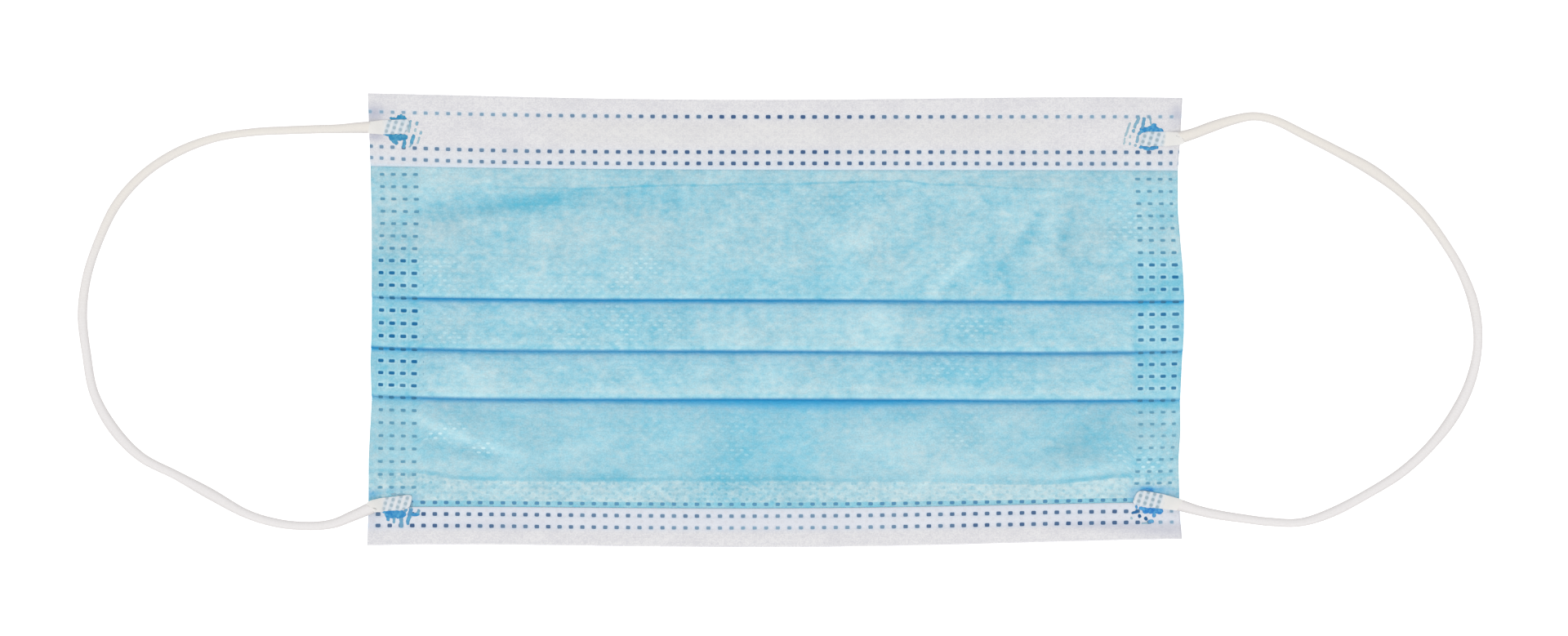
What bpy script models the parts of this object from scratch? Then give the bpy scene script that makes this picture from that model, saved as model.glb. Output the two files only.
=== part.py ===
"""A pleated surgical face mask that lies flat, blue outer side up, with its two ear loops spread out.

Units are metres and +Z is up. The origin is on the surface that the mask lies on, under the middle of
its body. +X runs along the pleats and +Y towards the edge that holds the nose wire.
"""
import math

import bmesh
import bpy
import numpy as np
from mathutils import Matrix, Vector

MM = 0.001

# Driving dimensions
CLOTH_WALL = 1.0 * MM        # wall of the three-ply cloth and of its bindings
PLEAT_DEPTH = 9.5 * MM       # cloth hidden behind each fold line
LAYER_GAP = 0.15 * MM        # air between two layers of one pleat
PIECE_GAP = 0.3 * MM         # air between two pieces
FLOOR_GAP = 0.05 * MM        # the folds stay this far above the surface that the bindings rest on
PUFF_HEIGHT = 1.0 * MM       # how far the free cloth bows up in the middle of the mask
WELD_ZONE = 10.0 * MM        # strip at each side where the layers are welded flat
TUCK = 5.2 * MM              # how far the cloth reaches into each binding
WIRE_SIZE = (104.0 * MM, 3.0 * MM, 1.0 * MM)
WIRE_PLACE = (5.3 * MM, 40.4 * MM)
WIRE_EDGE = 0.3 * MM         # rounding of the wire
LOOP_DIAMETER = 1.9 * MM
LOOP_END_SIZE = (7.8 * MM, 3.4 * MM, 1.6 * MM)
LOOP_END_EDGE = 0.5 * MM     # rounding of a flattened loop end

# How finely the pieces are divided
STATION_COUNT = 21           # sections across the mask
ARC_STEPS = 6                # straight steps in each half turn of cloth
UPPER_RUN_POINTS = 9         # points down the cloth from the top binding to the first fold
LOWER_RUN_POINTS = 8         # points down the cloth from the last fold to the bottom binding
SHOWN_RUN_POINTS = 3         # points along a layer that shows between two folds
HIDDEN_RUN_POINTS = 1        # points along a layer that lies behind a fold
LEG_POINTS = 4               # points along the front and the back of a binding
LOOP_POINTS = 46             # points along each ear loop
SPAN_POINTS = 24             # points worked out between two points of a loop's route
LOOP_SIDE_RESOLUTION = 2     # gives the loop eight sides

# Height of each edge and fold line above the middle of the mask, in mm, at five even stations across it
LINE_STATIONS = np.array([-87.5, -43.75, 0.0, 43.75, 87.5]) * MM
LINE_HEIGHTS = {
    #               left   mid_left  middle  mid_right  right
    "top_edge":    (48.8,  47.8,     47.4,   47.8,      47.8),
    "top_band":    (33.2,  32.7,     32.5,   32.4,      32.3),
    "pleat_1":     (5.0,   4.3,      4.2,    4.0,       4.0),
    "pleat_2":     (-6.0,  -6.8,     -6.9,   -7.2,      -6.8),
    "pleat_3":     (-16.4, -17.2,    -17.2,  -17.4,     -17.2),
    "bottom_band": (-40.4, -40.4,    -40.6,  -40.0,     -39.3),
    "bottom_edge": (-48.3, -48.4,    -48.8,  -48.0,     -47.0),
}
PLEATS = ("pleat_1", "pleat_2", "pleat_3")
LEAST_PLEAT_SPACING = 10.2 * MM

# The two cut side edges, in mm: how far each lies from the middle line at a height on the mask
SIDE_EDGES = np.array([
    # height  left   right
    (49.0,    87.4,  87.8),
    (33.0,    86.9,  86.7),
    (18.0,    86.8,  87.2),
    (4.0,     86.8,  87.8),
    (-8.0,    86.9,  87.6),
    (-17.0,   87.2,  87.2),
    (-36.0,   87.8,  86.9),
    (-49.0,   87.6,  87.7),
]) * MM

# The flattened loop ends that are welded on the front, in mm and degrees
LOOP_ENDS = {
    #                        x      y      turn
    "loop_end_top_left":     (-82.9, 41.6,  2.0),
    "loop_end_top_right":    (82.9,  39.0,  4.0),
    "loop_end_bottom_left":  (-82.6, -39.6, 10.0),
    "loop_end_bottom_right": (82.6,  -39.0, -10.0),
}

# The routes of the ear loops, in mm, from the top corner round to the bottom corner
LOOP_ROUTES = {
    "ear_loop_left": (
        # x      y      z
        (-87.2,  41.5,  4.9),
        (-90.2,  41.4,  4.3),
        (-94.2,  41.2,  2.9),
        (-99.0,  41.1,  1.6),
        (-105.0, 40.9,  1.0),
        (-112.4, 40.5,  1.0),
        (-120.8, 39.2,  1.0),
        (-128.8, 36.2,  1.0),
        (-136.0, 31.5,  1.0),
        (-141.8, 25.1,  1.0),
        (-145.6, 17.5,  1.0),
        (-148.3, 9.4,   1.0),
        (-149.3, 1.1,   1.0),
        (-148.4, -7.3,  1.0),
        (-146.8, -15.7, 1.0),
        (-142.7, -23.3, 1.0),
        (-136.7, -29.5, 1.0),
        (-129.2, -33.4, 1.0),
        (-121.9, -37.4, 1.0),
        (-114.1, -41.7, 1.0),
        (-107.2, -43.8, 1.0),
        (-100.6, -44.4, 1.3),
        (-95.4,  -43.9, 2.7),
        (-91.0,  -42.2, 4.2),
        (-86.9,  -40.4, 4.9),
    ),
    "ear_loop_right": (
        # x      y      z
        (87.2,   39.3,  4.9),
        (90.2,   40.2,  4.3),
        (94.2,   41.7,  2.9),
        (98.6,   43.1,  1.6),
        (103.2,  43.9,  1.0),
        (108.0,  42.9,  1.0),
        (114.1,  39.9,  1.0),
        (121.6,  36.1,  1.0),
        (128.3,  32.4,  1.0),
        (134.3,  28.0,  1.0),
        (139.6,  22.9,  1.0),
        (144.0,  17.0,  1.0),
        (147.9,  10.4,  1.0),
        (150.6,  3.0,   1.0),
        (151.4,  -5.1,  1.0),
        (149.8,  -13.2, 1.0),
        (146.2,  -20.6, 1.0),
        (141.2,  -27.1, 1.0),
        (135.0,  -32.8, 1.0),
        (127.9,  -37.3, 1.0),
        (120.1,  -41.4, 1.0),
        (113.2,  -43.6, 1.0),
        (106.5,  -43.5, 1.0),
        (100.2,  -42.7, 1.4),
        (95.0,   -41.9, 2.8),
        (91.0,   -41.0, 4.2),
        (86.9,   -39.8, 4.9),
    ),
}

# Base colour, roughness and metallic value of each material
MATERIALS = {
    "blue_nonwoven":  ((0.371, 0.631, 0.716), 0.85, 0.0),
    "white_nonwoven": ((0.738, 0.738, 0.760), 0.85, 0.0),
    "white_elastic":  ((0.831, 0.799, 0.752), 0.75, 0.0),
    "coated_wire":    ((0.780, 0.780, 0.760), 0.45, 0.0),
}

# Heights of the middle surfaces in a binding, from the surface that it rests on
BINDING_BACK = CLOTH_WALL / 2
BINDING_CLOTH = BINDING_BACK + CLOTH_WALL + PIECE_GAP
BINDING_FRONT = BINDING_CLOTH + CLOTH_WALL + PIECE_GAP
BINDING_TOP = BINDING_FRONT + CLOTH_WALL / 2

# A pleat is a stack of sloped layers like shingles, so each layer rises by two layers in one pleat spacing
FOLD_RADIUS = (CLOTH_WALL + LAYER_GAP) / 2
FOLD_REACH = FOLD_RADIUS + CLOTH_WALL / 2
SLOPE = math.asin(4 * FOLD_RADIUS / LEAST_PLEAT_SPACING)
DOWN_LAYER = np.array([-math.cos(SLOPE), math.sin(SLOPE)])
OFF_LAYER = np.array([math.sin(SLOPE), math.cos(SLOPE)])


def clear_scene():
    """Removes the objects of the scene that the script starts in."""
    for thing in list(bpy.data.objects):
        bpy.data.objects.remove(thing, do_unlink=True)


def new_collection(name):
    """A collection linked to the scene."""
    collection = bpy.data.collections.new(name)
    bpy.context.scene.collection.children.link(collection)
    return collection


def new_material(name):
    """The Principled material of one row of MATERIALS."""
    colour, roughness, metallic = MATERIALS[name]
    material = bpy.data.materials.new(name)
    material.use_nodes = True
    shader = material.node_tree.nodes["Principled BSDF"]
    shader.inputs["Base Color"].default_value = (*colour, 1.0)
    shader.inputs["Roughness"].default_value = roughness
    shader.inputs["Metallic"].default_value = metallic
    return material


def line_height(line, x):
    """Height of an edge or fold line at x: the smooth quartic through the line's five stations."""
    heights = np.array(LINE_HEIGHTS[line]) * MM
    half = LINE_STATIONS[-1]
    return np.polyval(np.polyfit(LINE_STATIONS / half, heights, len(heights) - 1), x / half)


def side_reach(side, y):
    """How far the left or right side edge lies from the middle line at height y."""
    column = {"left": 1, "right": 2}[side]
    rows = SIDE_EDGES[::-1]
    return np.interp(y, rows[:, 0], rows[:, column])


def puff(x, y):
    """How far the cloth bows up: none in the weld zones and at the bindings, most in the middle."""
    across = np.clip(1 - (x / (LINE_STATIONS[-1] - WELD_ZONE)) ** 2, 0, 1) ** 2
    top = line_height("top_band", x)
    bottom = line_height("bottom_band", x)
    along = np.sin(np.pi * np.clip((top - y) / (top - bottom), 0, 1))
    return PUFF_HEIGHT * across * along


def ease(start, start_slope, end, end_slope, count):
    """Points (y, z) of a cubic from start to end with the given slopes dz/dy at its ends."""
    t = np.linspace(0, 1, count)
    run = end[0] - start[0]
    y = start[0] + run * t
    z = ((2 * t**3 - 3 * t**2 + 1) * start[1] + (t**3 - 2 * t**2 + t) * run * start_slope
         + (3 * t**2 - 2 * t**3) * end[1] + (t**3 - t**2) * run * end_slope)
    return np.column_stack([y, z])


def straight(start, end, count):
    """Points strictly between start and end, evenly spaced."""
    t = np.linspace(0, 1, count + 2)[1:-1, None]
    return start + (end - start) * t


def half_turn(centre, outward):
    """A half circle of cloth about centre, from the upper layer round the outward side to the lower one."""
    turn = np.linspace(0, np.pi, ARC_STEPS + 1)[:, None]
    return centre + FOLD_RADIUS * (np.cos(turn) * OFF_LAYER + np.sin(turn) * outward)


def fold_centres(x):
    """Centres of the outer and inner half turns of the three pleats at x, from the top pleat down."""
    outer, inner = [], []
    for pleat in PLEATS:
        line = line_height(pleat, x)
        low = np.array([line + PLEAT_DEPTH - FOLD_REACH, FOLD_REACH + FLOOR_GAP])
        run = (low[0] - (line + FOLD_REACH) + 2 * FOLD_RADIUS * OFF_LAYER[0]) / math.cos(SLOPE)
        outer.append(low + 2 * FOLD_RADIUS * OFF_LAYER + run * DOWN_LAYER)
        inner.append(low)
    return outer, inner


def cloth_section(x):
    """Points (y, z) of the cloth's middle surface at x, from its top edge down through the three pleats."""
    outer, inner = fold_centres(x)
    fall = -math.tan(SLOPE)
    band = np.array([line_height("top_band", x), BINDING_CLOTH])
    first_fold = outer[0] + FOLD_RADIUS * OFF_LAYER
    path = [band + (TUCK, 0), ease(band, 0, first_fold, fall, UPPER_RUN_POINTS)[:-1]]
    for number in range(len(PLEATS)):
        path.append(half_turn(outer[number], DOWN_LAYER))
        behind = outer[number] - FOLD_RADIUS * OFF_LAYER, inner[number] + FOLD_RADIUS * OFF_LAYER
        path.append(straight(*behind, HIDDEN_RUN_POINTS))
        path.append(half_turn(inner[number], -DOWN_LAYER))
        start = inner[number] - FOLD_RADIUS * OFF_LAYER
        if number + 1 < len(PLEATS):
            path.append(straight(start, outer[number + 1] + FOLD_RADIUS * OFF_LAYER, SHOWN_RUN_POINTS))
    under_fold = start + DOWN_LAYER * (start[0] - line_height(PLEATS[-1], x)) / math.cos(SLOPE)
    low_band = np.array([line_height("bottom_band", x), BINDING_CLOTH])
    path.append(straight(start, under_fold, HIDDEN_RUN_POINTS))
    path.append(ease(under_fold, fall, low_band, 0, LOWER_RUN_POINTS))
    path.append(low_band - (TUCK, 0))
    section = np.vstack(path)
    section[:, 1] += puff(x, section[:, 0])
    return section


def binding_section(x, edge_line, band_line):
    """Points (y, z) of a binding's middle surface at x: its front, a half turn round the edge, its back."""
    inward = np.sign(line_height(band_line, x) - line_height(edge_line, x))
    radius = (BINDING_FRONT - BINDING_BACK) / 2
    centre = np.array([line_height(edge_line, x) + inward * (radius + CLOTH_WALL / 2),
                       (BINDING_FRONT + BINDING_BACK) / 2])
    turn = np.linspace(np.pi / 2, -np.pi / 2, ARC_STEPS + 1)
    arc = centre + radius * np.column_stack([-inward * np.cos(turn), np.sin(turn)])
    band = line_height(band_line, x)
    front = straight(np.array([band, BINDING_FRONT]), arc[0], LEG_POINTS - 2)
    back = straight(arc[-1], np.array([band, BINDING_BACK]), LEG_POINTS - 2)
    return np.vstack([(band, BINDING_FRONT), front, arc, back, (band, BINDING_BACK)])


def cloth_piece(name, section, collection, material):
    """A wall of cloth lofted through one section at each station between the two cut side edges."""
    rows = []
    for share in np.linspace(-1, 1, STATION_COUNT):
        points = section(share * LINE_STATIONS[-1])
        reach = np.where(share < 0, side_reach("left", points[:, 0]), side_reach("right", points[:, 0]))
        rows.append(np.column_stack([share * reach, points]))
    count = len(rows[0])
    faces = [(a * count + b, (a + 1) * count + b, (a + 1) * count + b + 1, a * count + b + 1)
             for a in range(STATION_COUNT - 1) for b in range(count - 1)]
    mesh = bpy.data.meshes.new(name)
    mesh.from_pydata(np.vstack(rows).tolist(), [], faces)
    mesh.shade_smooth()
    piece = bpy.data.objects.new(name, mesh)
    collection.objects.link(piece)
    wall = piece.modifiers.new("cloth_wall", "SOLIDIFY")
    wall.thickness = CLOTH_WALL
    wall.offset = 0.0
    wall.use_even_offset = True
    mesh.materials.append(material)
    return piece


def rounded_bar(name, size, place, turn, edge, collection, material):
    """A flat bar with rounded edges, its size given along its own axes, turned about Z."""
    mesh = bpy.data.meshes.new(name)
    shape = bmesh.new()
    bmesh.ops.create_cube(shape, size=1.0, matrix=Matrix.Diagonal((*size, 1.0)))
    shape.to_mesh(mesh)
    shape.free()
    bar = bpy.data.objects.new(name, mesh)
    bar.location = place
    bar.rotation_euler = (0, 0, math.radians(turn))
    collection.objects.link(bar)
    rounding = bar.modifiers.new("rounded_edges", "BEVEL")
    rounding.width = edge
    rounding.segments = 2
    mesh.materials.append(material)
    return bar


def smooth_route(points, count):
    """Evenly spaced points on the Catmull-Rom curve through the route's own points."""
    knots = np.array(points)
    ends = np.vstack([2 * knots[0] - knots[1], knots, 2 * knots[-1] - knots[-2]])
    t = np.linspace(0, 1, SPAN_POINTS, endpoint=False)[:, None]
    dense = []
    for a, b, c, d in zip(ends, ends[1:], ends[2:], ends[3:]):
        dense.append(0.5 * (2 * b + (c - a) * t + (2 * a - 5 * b + 4 * c - d) * t**2
                            + (3 * b - a - 3 * c + d) * t**3))
    dense = np.vstack(dense + [knots[-1:]])
    along = np.concatenate([[0], np.cumsum(np.linalg.norm(np.diff(dense, axis=0), axis=1))])
    even = np.linspace(0, along[-1], count)
    return np.column_stack([np.interp(even, along, dense[:, axis]) for axis in range(3)])


def ear_loop(name, collection, material):
    """A round elastic cord along its route, with closed ends."""
    route = smooth_route(np.array(LOOP_ROUTES[name]) * MM, LOOP_POINTS)
    curve = bpy.data.curves.new(name, "CURVE")
    curve.dimensions = "3D"
    curve.bevel_depth = LOOP_DIAMETER / 2
    curve.bevel_resolution = LOOP_SIDE_RESOLUTION
    curve.use_fill_caps = True
    spline = curve.splines.new("POLY")
    spline.points.add(LOOP_POINTS - 1)
    for point, place in zip(spline.points, route):
        point.co = (*place, 1.0)
    curve.materials.append(material)
    loop = bpy.data.objects.new(name, curve)
    collection.objects.link(loop)
    return loop


def nose_wire(collection, material):
    """The flat coated wire that lies in the top binding above the edge of the cloth."""
    return rounded_bar("nose_wire", WIRE_SIZE, Vector((*WIRE_PLACE, BINDING_CLOTH)), 0.0,
                       WIRE_EDGE, collection, material)


def loop_end(name, collection, material):
    """One flattened end of an ear loop, lying on the front of a binding."""
    x, y, turn = LOOP_ENDS[name]
    height = BINDING_TOP + PIECE_GAP + LOOP_END_SIZE[2] / 2
    return rounded_bar(name, LOOP_END_SIZE, Vector((x * MM, y * MM, height)), turn,
                       LOOP_END_EDGE, collection, material)


def build():
    """Makes every piece of the mask."""
    clear_scene()
    mask = new_collection("surgical_face_mask")
    blue = new_material("blue_nonwoven")
    white = new_material("white_nonwoven")
    elastic = new_material("white_elastic")
    wire = new_material("coated_wire")
    cloth_piece("pleated_panel", cloth_section, mask, blue)
    cloth_piece("top_binding", lambda x: binding_section(x, "top_edge", "top_band"), mask, white)
    cloth_piece("bottom_binding", lambda x: binding_section(x, "bottom_edge", "bottom_band"), mask, white)
    nose_wire(mask, wire)
    for name in LOOP_ENDS:
        loop_end(name, mask, elastic)
    for name in LOOP_ROUTES:
        ear_loop(name, mask, elastic)


build()
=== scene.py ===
# %% [markdown]
# A pleated face mask, worked out with numpy
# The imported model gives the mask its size, its place and its solids. This lesson dresses it: each soft
# solid is replaced by a thin sheet of cloth or a cord whose shape is worked out from a few lines that run
# across the mask. The lines are measured once, and every later step reads its places from them.

import bpy
import numpy as np
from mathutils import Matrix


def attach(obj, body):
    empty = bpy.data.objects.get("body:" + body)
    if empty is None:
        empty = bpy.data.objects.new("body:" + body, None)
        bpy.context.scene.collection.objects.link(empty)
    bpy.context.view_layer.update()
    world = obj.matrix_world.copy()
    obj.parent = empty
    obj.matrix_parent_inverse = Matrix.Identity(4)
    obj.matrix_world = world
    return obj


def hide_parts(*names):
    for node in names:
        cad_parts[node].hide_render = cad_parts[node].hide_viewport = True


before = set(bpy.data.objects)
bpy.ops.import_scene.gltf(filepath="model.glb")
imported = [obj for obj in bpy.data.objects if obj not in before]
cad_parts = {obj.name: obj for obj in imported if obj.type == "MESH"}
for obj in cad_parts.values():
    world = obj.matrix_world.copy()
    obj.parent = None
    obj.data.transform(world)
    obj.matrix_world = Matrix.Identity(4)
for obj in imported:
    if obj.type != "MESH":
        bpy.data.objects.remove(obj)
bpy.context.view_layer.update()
print("nodes in the frame:", ", ".join(sorted(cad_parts)))

# %% [markdown]
# Blender counts in metres, but a mask is easier to think about in millimetres. All shapes below are worked
# out in millimetres and are turned into metres once, where a mesh is made.

# %% Units and small helpers
MM = 0.001
MASK = "root"


def smooth_step(low, high, value):
    """0 below low, 1 above high, and 3t² - 2t³ of the share t in between."""
    t = np.clip((value - low) / (high - low), 0, 1)
    return t * t * (3 - 2 * t)


def put(thing):
    """Links an object to the scene and hands it back."""
    bpy.context.scene.collection.objects.link(thing)
    return thing


print("a smooth step from 0 to 4 at 1:", smooth_step(0, 4, 1))

# %% [markdown]
# The photograph looks straight down, and nothing in it gets smaller with distance. A long lens far above
# the table gives that flat look. The lens and the width of the view fix how high the camera hangs.

# %% The camera
VIEW_WIDTH = 337.69
VIEW_CENTRE = np.array([1.89, 0.44])
FRONT_HEIGHT = 1.5            # the front of the mask lies about this high, and there the view is that wide
LENS = 100.0
SENSOR = 36.0

camera_data = bpy.data.cameras.new("camera")
camera_data.lens = LENS
camera_data.sensor_width = SENSOR
camera = put(bpy.data.objects.new("camera", camera_data))
camera_height = VIEW_WIDTH * LENS / SENSOR + FRONT_HEIGHT
camera.location = (*(VIEW_CENTRE * MM), camera_height * MM)
bpy.context.scene.camera = camera
print(f"camera {camera_height:.0f} mm above the table")

# %% [markdown]
# A surface that is worked out on a grid becomes a mesh in two steps: the grid's points, and the quads that
# join neighbours. Cloth has a front grid and a back grid, with strips of quads between their rims.

# %% Sheets from two grids
def grid_quads(rows, columns, start=0):
    """Corner numbers of the quads of a grid whose point (a, b) has the number start + a * columns + b."""
    a, b = np.meshgrid(np.arange(rows - 1), np.arange(columns - 1), indexing="ij")
    first = start + a * columns + b
    return np.stack([first, first + 1, first + columns + 1, first + columns], axis=-1).reshape(-1, 4)


def closed_sheet(front, back):
    """The points and quads of one skin round a front grid, a back grid and the strips between their rims."""
    rows, columns = front.shape[:2]
    count = rows * columns
    number = np.arange(count).reshape(rows, columns)
    rim = np.concatenate([number[0, :-1], number[:-1, -1], number[-1, :0:-1], number[:0:-1, 0]])
    following = np.roll(rim, -1)
    sides = np.stack([following, rim, rim + count, following + count], axis=1)
    quads = np.concatenate([grid_quads(rows, columns), grid_quads(rows, columns, count)[:, ::-1], sides])
    return np.concatenate([front.reshape(-1, 3), back.reshape(-1, 3)]), quads


print("a sheet from two grids of 3 by 4 points has", len(closed_sheet(*np.zeros((2, 3, 4, 3)))[1]), "quads")

# %% [markdown]
# The sign of the volume inside a closed skin tells whether its faces point outwards, so every piece is
# measured, and turned round if it comes out inside out.

# %% Pieces from points and faces
def inside_volume(points, quads):
    """Volume inside a closed skin: the sum of the pyramids from the origin to the two halves of each quad."""
    a, b, c, d = (points[quads[:, corner]] for corner in range(4))
    halves = np.cross(a, b) * c + np.cross(a, c) * d
    return halves.sum() / 6


def new_piece(name, points, quads, ends=()):
    """A smooth mesh object from points in mm, with its faces pointing outwards, that rides on the mask."""
    volume = inside_volume(points, quads)
    if volume < 0:
        quads = quads[:, ::-1]
        ends = [face[::-1] for face in ends]
    mesh = bpy.data.meshes.new(name)
    mesh.from_pydata((points * MM).tolist(), [], quads.tolist() + [list(face) for face in ends])
    mesh.polygons.foreach_set("use_smooth", np.full(len(mesh.polygons), True))
    mesh.update()
    piece = put(bpy.data.objects.new(name, mesh))
    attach(piece, MASK)
    size = np.round(np.ptp(points, axis=0), 1)
    print(f"{name}: {2 * len(quads)} triangles, {size} mm, {abs(volume):.0f} mm3")
    return piece


def give(piece, name, values):
    """Stores one number, or three, for each point of a piece as a named attribute for its material."""
    values = np.asarray(values, dtype=float)
    kind, field = ("FLOAT", "value") if values.ndim == 1 else ("FLOAT_VECTOR", "vector")
    piece.data.attributes.new(name, kind, "POINT").data.foreach_set(field, values.ravel())


# %% [markdown]
# The loops are elastic cords, about 1.9 mm thick, that lie loosely on the table. Each follows one smooth
# curve from its top corner round to its bottom corner. A curve with a round bevel would do, but a real
# loop is slightly flat and turns as it lies, so it looks wider in some places than in others. A tube of
# rings along the route can have its own width at every point.

# %% Routes of the ear loops
ROUTES = {
    "ear_loop_left": (
        # x        y        z       width, in metres
        (-0.0872, 0.0415, 0.0049, 0.00235),
        (-0.0902, 0.0414, 0.0043, 0.00210),
        (-0.0942, 0.0412, 0.0029, 0.00180),
        (-0.0990, 0.0411, 0.0016, 0.00170),
        (-0.1050, 0.0409, 0.0010, 0.00165),
        (-0.1124, 0.0405, 0.0010, 0.00160),
        (-0.1208, 0.0392, 0.0010, 0.00165),
        (-0.1288, 0.0362, 0.0010, 0.00185),
        (-0.1360, 0.0315, 0.0010, 0.00185),
        (-0.1418, 0.0251, 0.0010, 0.00190),
        (-0.1456, 0.0175, 0.0010, 0.00175),
        (-0.1483, 0.0094, 0.0010, 0.00180),
        (-0.1493, 0.0011, 0.0010, 0.00190),
        (-0.1484, -0.0073, 0.0010, 0.00180),
        (-0.1468, -0.0157, 0.0010, 0.00185),
        (-0.1427, -0.0233, 0.0010, 0.00215),
        (-0.1367, -0.0295, 0.0010, 0.00195),
        (-0.1292, -0.0334, 0.0010, 0.00185),
        (-0.1219, -0.0374, 0.0010, 0.00225),
        (-0.1141, -0.0417, 0.0010, 0.00180),
        (-0.1072, -0.0438, 0.0010, 0.00175),
        (-0.1006, -0.0444, 0.0013, 0.00170),
        (-0.0954, -0.0439, 0.0027, 0.00185),
        (-0.0910, -0.0422, 0.0042, 0.00210),
        (-0.0869, -0.0404, 0.0049, 0.00235),
    ),
    "ear_loop_right": (
        (0.0872, 0.0393, 0.0049, 0.00240),
        (0.0902, 0.0402, 0.0043, 0.00220),
        (0.0942, 0.0417, 0.0029, 0.00215),
        (0.0986, 0.0431, 0.0016, 0.00190),
        (0.1032, 0.0439, 0.0010, 0.00170),
        (0.1080, 0.0429, 0.0010, 0.00175),
        (0.1141, 0.0399, 0.0010, 0.00190),
        (0.1216, 0.0361, 0.0010, 0.00205),
        (0.1283, 0.0324, 0.0010, 0.00235),
        (0.1343, 0.0280, 0.0010, 0.00195),
        (0.1396, 0.0229, 0.0010, 0.00190),
        (0.1440, 0.0170, 0.0010, 0.00180),
        (0.1479, 0.0104, 0.0010, 0.00185),
        (0.1506, 0.0030, 0.0010, 0.00205),
        (0.1514, -0.0051, 0.0010, 0.00180),
        (0.1498, -0.0132, 0.0010, 0.00205),
        (0.1462, -0.0206, 0.0010, 0.00225),
        (0.1412, -0.0271, 0.0010, 0.00200),
        (0.1350, -0.0328, 0.0010, 0.00200),
        (0.1279, -0.0373, 0.0010, 0.00185),
        (0.1201, -0.0414, 0.0010, 0.00190),
        (0.1132, -0.0436, 0.0010, 0.00165),
        (0.1065, -0.0435, 0.0010, 0.00170),
        (0.1002, -0.0427, 0.0014, 0.00175),
        (0.0950, -0.0419, 0.0028, 0.00190),
        (0.0910, -0.0410, 0.0042, 0.00200),
        (0.0869, -0.0398, 0.0049, 0.00235),
    ),
}
print({name: f"{len(route)} points" for name, route in ROUTES.items()})

# %% [markdown]
# A Catmull-Rom curve passes through all of its knots with a smooth bend, so a route needs few points.
# The real cloth is thinner than its solid stand-in, so the loops come down to it: their height over the
# table is squeezed, and where a loop is wide it is flat, which lets it lie lower.

# %% A smooth line through knots
RING_COUNT = 420
CORD_SECTION = 3.3        # width times height of the cord, in mm2
CORD_SPREAD = 1.08        # how much wider the resting cord is than its measured middle part
LOWERING = 0.244          # how much of the solid loop's rise is kept
CORD_CLEARANCE = 0.03


def through(knots, count):
    """The Catmull-Rom curve through the knots, at count places evenly spaced along its length in space."""
    knots = np.asarray(knots, dtype=float)
    ends = np.vstack([2 * knots[0] - knots[1], knots, 2 * knots[-1] - knots[-2]])
    t = np.linspace(0, 1, 24, endpoint=False)[:, None, None]
    a, b, c, d = ends[:-3], ends[1:-2], ends[2:-1], ends[3:]
    spans = 0.5 * (2 * b + (c - a) * t + (2 * a - 5 * b + 4 * c - d) * t**2 + (3 * b - a - 3 * c + d) * t**3)
    dense = np.vstack([spans.transpose(1, 0, 2).reshape(-1, knots.shape[1]), knots[-1:]])
    along = np.concatenate([[0], np.cumsum(np.linalg.norm(np.diff(dense[:, :3], axis=0), axis=1))])
    even = np.linspace(0, along[-1], count)
    return np.column_stack([np.interp(even, along, column) for column in dense.T])


def cord_line(name):
    """Centres, widths and heights of a loop's rings in mm, each ring resting on the table or the mask."""
    line = through(np.array(ROUTES[name]) / MM, RING_COUNT)
    width = line[:, 3] * CORD_SPREAD
    height = CORD_SECTION / width
    rise = 1 + (line[:, 2] - 1) * LOWERING
    line[:, 2] = np.maximum(rise, height / 2 + CORD_CLEARANCE)
    return line[:, :3], width, height


print(f"the left loop is up to {cord_line('ear_loop_left')[1].max():.2f} mm wide")

# %% [markdown]
# Each ring stands square to the route. Its points are an ellipse, and a factor for each turn can change its
# outline. Both ends are closed by a few shrinking rings and a last face.

# %% Tubes of rings
SIDE_COUNT = 40
TURNS = np.linspace(0, 2 * np.pi, SIDE_COUNT, endpoint=False)
CAP_SHARES = np.array([0.08, 0.4, 0.75, 0.95])
CAP_LENGTH = 0.35


def ring_frames(centres):
    """Unit vectors at each centre: along the line, level across it, and square to both."""
    along = np.gradient(centres, axis=0)
    along /= np.linalg.norm(along, axis=1)[:, None]
    across = np.column_stack([along[:, 1], -along[:, 0], np.zeros(len(along))])
    across /= np.linalg.norm(across, axis=1)[:, None]
    return along, across, np.cross(across, along)


def capped(centres, sizes):
    """Adds the shrinking rings of a rounded end to both ends of a line of ring centres and ring sizes."""
    along, _, _ = ring_frames(centres)
    shares = CAP_SHARES[:, None]
    reach = CAP_LENGTH * np.sqrt(1 - shares**2)
    return (np.vstack([centres[0] - along[0] * reach, centres, centres[-1] + along[-1] * reach[::-1]]),
            np.vstack([sizes[0] * shares, sizes, sizes[-1] * shares[::-1]]))


def ring_points(centres, sizes, outline=1.0):
    """Rings of points: centre + (across * width/2 * cos(turn) + up * height/2 * sin(turn)) * outline."""
    _, across, up = ring_frames(centres)
    level = (sizes[:, 0, None] / 2 * np.cos(TURNS) * outline)[..., None] * across[:, None]
    upright = (sizes[:, 1, None] / 2 * np.sin(TURNS) * outline)[..., None] * up[:, None]
    return centres[:, None] + level + upright


def tube(name, points):
    """A piece from rings of points; every ring is closed, and so are both ends."""
    rings, sides = points.shape[:2]
    a, b = np.meshgrid(np.arange(rings - 1), np.arange(sides), indexing="ij")
    first, second = a * sides + b, a * sides + (b + 1) % sides
    quads = np.stack([first, second, second + sides, first + sides], axis=-1)
    ends = [list(range(sides))[::-1], list(range((rings - 1) * sides, rings * sides))]
    return new_piece(name, points.reshape(-1, 3), quads.reshape(-1, 4), ends)


print(f"{SIDE_COUNT} points in a ring, and {len(CAP_SHARES)} shrinking rings at each end")

# %% [markdown]
# The threads of the elastic run lengthwise and show as fine ribs. The cord's material gets the length from
# the top corner, the turn round the cord and how far to the side a point lies.

# %% The two cords
RIB_COUNT = 10
RIB_DEPTH = 0.012


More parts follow.
